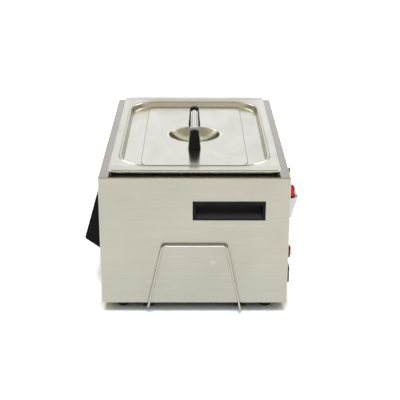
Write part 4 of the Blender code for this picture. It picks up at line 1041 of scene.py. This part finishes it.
def foot_profile(wide, top):
    """Radius and height round a rubber foot's section: hole, top, bumper, cone, tread and bolt recess."""
    hole = 2.3 * MM
    corner = 0.8 * MM
    toe = 1.6 * MM
    recess = 5 * MM
    recess_top = 16 * MM
    groove = 0.6 * MM
    profile = [(hole, top), (wide - corner, top)]
    profile += arc((wide - corner, top - corner), corner, 90, 0, 4)
    profile += [(wide, top - 5 * MM), (wide - 0.7 * MM, top - 5.6 * MM), (wide - 0.9 * MM, top - 6.6 * MM)]
    profile += [(10.9 * MM, 2.9 * MM)]
    profile += arc((9.0 * MM, toe), toe, 10, -90, 5)
    profile += [(8.2 * MM, 0), (7.9 * MM, groove), (6.9 * MM, groove), (6.6 * MM, 0)]
    profile += [(recess, 0), (recess, recess_top), (hole, recess_top)]
    return profile


def make_feet():
    for index in range(1, 5):
        low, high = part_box(f"foot_{index}")
        centre = ((low.x + high.x) / 2, (low.y + high.y) / 2, 0)
        profile = foot_profile((high.x - low.x) / 2, high.z)
        foot = turned(f"foot_{index}_moulding", profile, centre, closed=True)
        show(foot, "rubber", "housing", f"foot_{index}", slot="black_rubber")


# ---- control wedge


# The film on the wedge's sloping face
FILM_LENGTH = 76 * MM
FILM_THICKNESS = 1.6 * MM
# The sloping face's frame stands this far in front of the film
FACE_GAP = 0.3 * MM
PRINT_DEPTH = 0.08 * MM


def face_frame():
    """The sloping face's axes: X along the bath, Y up the face, Z out of it."""
    low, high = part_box("control_fascia")
    depth, height = high.y - low.y, high.z - low.z
    tilt = math.atan2(
        FILM_LENGTH * depth - FILM_THICKNESS * height, FILM_LENGTH * height - FILM_THICKNESS * depth
    )
    normal = Vector((0, -math.cos(tilt), math.sin(tilt)))
    up = Vector((0, math.sin(tilt), math.cos(tilt)))
    turn = Matrix((Vector((1, 0, 0)), up, normal)).transposed()
    at = (low + high) / 2 + normal * (FILM_THICKNESS / 2 + FACE_GAP)
    return Matrix.Translation(at) @ turn.to_4x4()


def strokes(name, lines, width, level, centre=(0, 0)):
    """Thin bars along the lines, which are lists of (x, y) in mm on the sloping face."""
    bm = bmesh.new()
    face = face_frame()
    middle_z = level * MM - PRINT_DEPTH / 2
    for line in lines:
        for start, end in zip(line, line[1:]):
            run = (Vector(end) - Vector(start)) * MM
            mid = (Vector(end) + Vector(start)) / 2 * MM
            place = Matrix.Translation((centre[0] * MM + mid.x, centre[1] * MM + mid.y, middle_z))
            turn = Matrix.Rotation(math.atan2(run.y, run.x), 4, "Z")
            size = Matrix.Diagonal((run.length + width * MM * 0.9, width * MM, PRINT_DEPTH, 1))
            bmesh.ops.create_cube(bm, size=1, matrix=face @ place @ turn @ size)
    return link(name, to_mesh(name, bm))


def rectangle(half_x, half_y):
    x, y = half_x, half_y
    return [(-x, -y), (x, -y), (x, y), (-x, y), (-x, -y)]


# The buttons' symbols, in mm round each button's middle
BUTTON_MARKS = {
    "power": [arc((0, 0), 2.6, 125, 415, 16), [(0, 3.4), (0, 0.4)]],
    "set": [arc((0, 0), 2.8, 0, 360, 6), arc((0, 0), 0.9, 0, 360, 8)],
    "down": [[(-2.4, 1.4), (2.4, 1.4), (0, -2.2), (-2.4, 1.4)]],
    "up": [[(-2.4, -1.4), (2.4, -1.4), (0, 2.2), (-2.4, -1.4)]],
    "timer": [arc((0, 0), 2.8, 0, 360, 16), [(0, 1.9), (0, 0), (1.3, -0.8)]],
}
# Bars of a seven-segment figure, 6 by 11 mm
FIGURE_FIVE = [
    [(3, 5.5), (-3, 5.5)], [(-3, 5.2), (-3, 0.3)], [(-3, 0), (3, 0)], [(3, -0.3), (3, -5.2)],
    [(3, -5.5), (-3, -5.5)],
]
# Places on the sloping face and levels above it, in mm
BUTTON_PITCH = 36
BUTTON_Y = -20
BUTTON_LEVEL = 0.73
WINDOW_Y = 14
WINDOW_LEVEL = -0.27
FIGURE_LEVEL = -4.02


def make_wedge():
    rounded_copy("control_housing", 0.7 * MM, "wedge", "housing", "black_plastic")
    rounded_copy("control_fascia", 0.25 * MM, "fascia", "housing", "fascia_film")
    rounded_copy("display_lens", 0.3 * MM, "smoked", "housing", "smoked_lens")
    for index, (name, lines) in enumerate(BUTTON_MARKS.items()):
        node = f"button_{name}"
        rounded_copy(node, 0.3 * MM, "grey", node, "grey_plastic")
        at = ((index - 2) * BUTTON_PITCH, BUTTON_Y)
        show(strokes(f"mark_{name}", lines, 0.55, BUTTON_LEVEL, at), "print", node, slot="grey_plastic")
    window = strokes("window_frame", [rectangle(35, 16)], 0.5, WINDOW_LEVEL, (0, WINDOW_Y))
    show(window, "print", "housing", slot="fascia_film")
    for index, x in enumerate((-6, 6)):
        figure = strokes(f"display_figure_{index + 1}", FIGURE_FIVE, 1.2, FIGURE_LEVEL, (x, WINDOW_Y))
        show(figure, "digits", "housing", slot="smoked_lens")


# ---- rear wall


def make_switch_and_inlet():
    rounded_copy("rocker_frame", 0.6 * MM, "black", "housing", "black_plastic")
    rounded_copy("rocker_paddle", 0.5 * MM, "lens_red", "rocker", "red_lens")
    rounded_copy("inlet_body", 0.5 * MM, "black", "housing", "black_plastic")
    rounded_copy("inlet_contacts", 0.2 * MM, "brass", "housing", "brass")
    rounded_copy("fuse_drawer", 0.4 * MM, "black", "fuse_drawer", "black_plastic")


# Radius and height in mm, down the outside of the tap's casting
TAP_PROFILE = [
    (22, 77), (20.8, 70.5), (18.5, 64), (15.8, 56), (13.5, 49), (11.9, 43), (11.1, 38), (10.5, 33),
    (10.2, 31.6),
]


def tap_profile(top, end):
    """Radius and height round the casting's wall: shoulder, outside, spout's lip and inside."""
    mouth = 14 * MM
    throat = 7 * MM
    shoulder = 1.4 * MM
    shoulder_middle = 20.6 * MM
    outer = [(mouth, top), (shoulder_middle, top)]
    outer += arc((shoulder_middle, top - shoulder), shoulder, 88, 0, 6)
    outer += [(row[0] * MM, row[1] * MM) for row in eased(TAP_PROFILE, 4)]
    outer += [(9.6 * MM, end + 0.3 * MM)]
    inner = [(9.2 * MM, end), (7.4 * MM, end), (throat, end + 0.5 * MM)]
    return outer + inner + [(throat, 61 * MM), (mouth, 63 * MM)]


def make_tap():
    low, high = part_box("tap_body")
    radius = (high.x - low.x) / 2
    axis = Vector(((low.x + high.x) / 2, high.y - radius, 0))
    body = turned("tap_casting", tap_profile(high.z, low.z), axis, closed=True)
    shank_start = low.y
    shank_end = axis.y - 15.5 * MM
    length = shank_end - shank_start
    centre = (axis.x, (shank_start + shank_end) / 2, middle("tap_locknut").z)
    shank = rod("tap_shank", 8 * MM, length, centre, (0, 1, 0))
    body = combined(body, [shank], "UNION")
    bore = rod("tap_bore", 5.5 * MM, length + 16 * MM, centre, (0, 1, 0))
    show(combined(body, [bore]), "chrome", "housing", "tap_body", slot="tap_chrome")

    rounded_copy("tap_bonnet", 0.6 * MM, "red", "housing", "red_plastic")
    rounded_copy("tap_lever", 1.2 * MM, "red", "tap_lever", "red_plastic")


# ---- pieces that keep their CAD shape

KEPT = {
    # The base plate takes the underside's near-black steel: painted shade.
    "base_plate": "underside", "tank_seal": "rubber", "insulation_blanket": "felt",
    "heater_mat": "heater", "thermal_cutout": "grey", "temperature_probe": "wire",
    "probe_bracket": "zinc", "drain_hose": "silicone", "hose_clamp_tank": "zinc",
    "hose_clamp_tap": "zinc", "tap_washer": "rubber", "tap_locknut": "brass", "lever_pin": "zinc",
    "tap_seat_cup": "silicone", "board_carrier": "black", "power_board": "board",
    "terminal_block": "grey", "earth_stud": "brass", "mains_wires": "sleeve",
    "heater_leads": "white_sleeve", "control_board": "board", "display_module": "grey",
    "fuse": "fuse_glass",
    "handle_screw_right": "zinc", "handle_screw_left": "zinc",
    "foot_bolt_1": "zinc", "foot_bolt_2": "zinc", "foot_bolt_3": "zinc", "foot_bolt_4": "zinc",
}


def paint_kept_nodes():
    for node, material in KEPT.items():
        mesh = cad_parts[node].data
        mesh.materials.clear()
        mesh.materials.append(MATERIALS[material])


# ---- studio


def make_camera():
    camera = bpy.data.cameras.new("camera")
    camera.lens = LENS_MM
    camera.sensor_width = 36
    camera.clip_end = 50
    obj = link("camera", camera)
    forward = Vector((
        -math.cos(CAMERA_YAW) * math.cos(CAMERA_PITCH),
        math.sin(CAMERA_YAW) * math.cos(CAMERA_PITCH),
        -math.sin(CAMERA_PITCH),
    ))
    level = Vector((math.sin(CAMERA_YAW), math.cos(CAMERA_YAW), 0))
    down = forward.cross(level)
    right = level * math.cos(CAMERA_ROLL) + down * math.sin(CAMERA_ROLL)
    up = right.cross(forward)
    turn = Matrix((right, up, -forward)).transposed()
    at = (BATH_X + CAMERA_REACH[0], BATH_Y + CAMERA_REACH[1], CAMERA_Z)
    obj.matrix_world = Matrix.Translation(at) @ turn.to_4x4()
    bpy.context.scene.camera = obj


# Colours of the room round the bath, as its steel reflects them
WHITE_SKY = (1.0, 1.0, 0.99)
LOW_BACKDROP = (0.58, 0.58, 0.57)
DARK_SIDES = (0.26, 0.24, 0.16)
DIM_ROOM = (0.50, 0.46, 0.35)
CEILING = (0.56, 0.50, 0.37)
DARK_TOP = (0.12, 0.11, 0.08)
SOFTBOX = (2.9, 2.8, 2.4)
# Towards one softbox; the other is its mirror image across the bath
SOFTBOX_TO = (-0.56, 0.44, 0.70)
SUN_ENERGY = 3.6
SUN_ANGLE = math.radians(30)
SUN_FROM = (0.36, 0, 0.93)
FLOOR_SIZE = 8


def make_world():
    """White behind the bath, a dim warm room at its sides, overhead and in front, and two softboxes."""
    world = bpy.data.worlds.new("studio")
    bpy.context.scene.world = world
    world.use_nodes = True
    g = Graph(world.node_tree, "Generated")
    x, y, z = g.parts(g.where)
    aside = g.math("ABSOLUTE", y)
    backdrop = g.mix(g.between(z, 0, 1, 0.04, 0.22), LOW_BACKDROP, WHITE_SKY)
    sky = g.mix(g.between(aside, 0, 1, 0.20, 0.34), backdrop, DARK_SIDES)
    sky = g.mix(g.between(x, 0, 1, 0.05, 0.45), sky, DIM_ROOM)
    sky = g.mix(g.between(z, 0, 1, 0.32, 0.58), sky, CEILING)
    sky = g.mix(g.between(z, 0, 1, 0.91, 0.97), sky, DARK_TOP)
    along, across, up = (g.product(part, share) for part, share in zip((x, aside, z), SOFTBOX_TO))
    towards = g.math("ADD", g.math("ADD", along, up), across)
    sky = g.mix(g.between(towards, 0, 1, 0.968, 0.990), sky, SOFTBOX)
    seen = g.add("LightPath").outputs["Is Camera Ray"]
    g.plug(g.mix(seen, sky, (1, 1, 1)), g.tree.nodes["Background"].inputs["Color"])


def floor_paper():
    """White paper that glows beside the bath, and faintly under its near edge."""
    n = Nodes("studio_floor_paper")
    speckle = n.noise(300, 3)
    paper = n.mix(n.between(speckle, 0, 1, 0.3, 0.7), (0.90, 0.90, 0.90), (0.88, 0.885, 0.89))
    x, y, _ = n.parts(n.where)
    near_end = SHELL_HIGH.x
    beside = n.math("SUBTRACT", n.math("ABSOLUTE", n.math("SUBTRACT", y, BATH_Y)), HALF_WIDTH)
    behind_front = n.between(x, 1, 0, near_end - 60 * MM, near_end - 5 * MM)
    aside = n.product(n.between(beside, 0, 0.6, 4 * MM, 40 * MM), behind_front)
    under_edge = n.between(x, 0, 0.26, near_end - 36 * MM, near_end - 8 * MM)
    glow = n.math("ADD", aside, under_edge)
    tint = n.mix(aside, (0.72, 0.86, 1.0), (1.0, 1.0, 1.0))
    n.set(
        Base_Color=paper, Roughness=0.9, Specular_IOR_Level=0.1, Emission_Color=tint,
        Emission_Strength=glow,
    )
    return n.material


def make_studio():
    bm = bmesh.new()
    bmesh.ops.create_grid(bm, x_segments=1, y_segments=1, size=FLOOR_SIZE)
    floor = link("studio_floor", to_mesh("studio_floor", bm))
    floor.data.materials.append(floor_paper())
    make_world()
    sun = bpy.data.lights.new("front_light", "SUN")
    sun.energy = SUN_ENERGY
    sun.angle = SUN_ANGLE
    obj = link("front_light", sun)
    obj.rotation_euler = Vector(SUN_FROM).to_track_quat("Z", "Y").to_euler()
    obj.visible_glossy = False
    bpy.context.scene.view_settings.view_transform = "Standard"


make_camera()
make_housing()
make_tank()
make_lid()
make_handle()
make_carry_handles()
make_wire_rest()
make_feet()
make_wedge()
make_switch_and_inlet()
make_tap()
paint_kept_nodes()
make_studio()
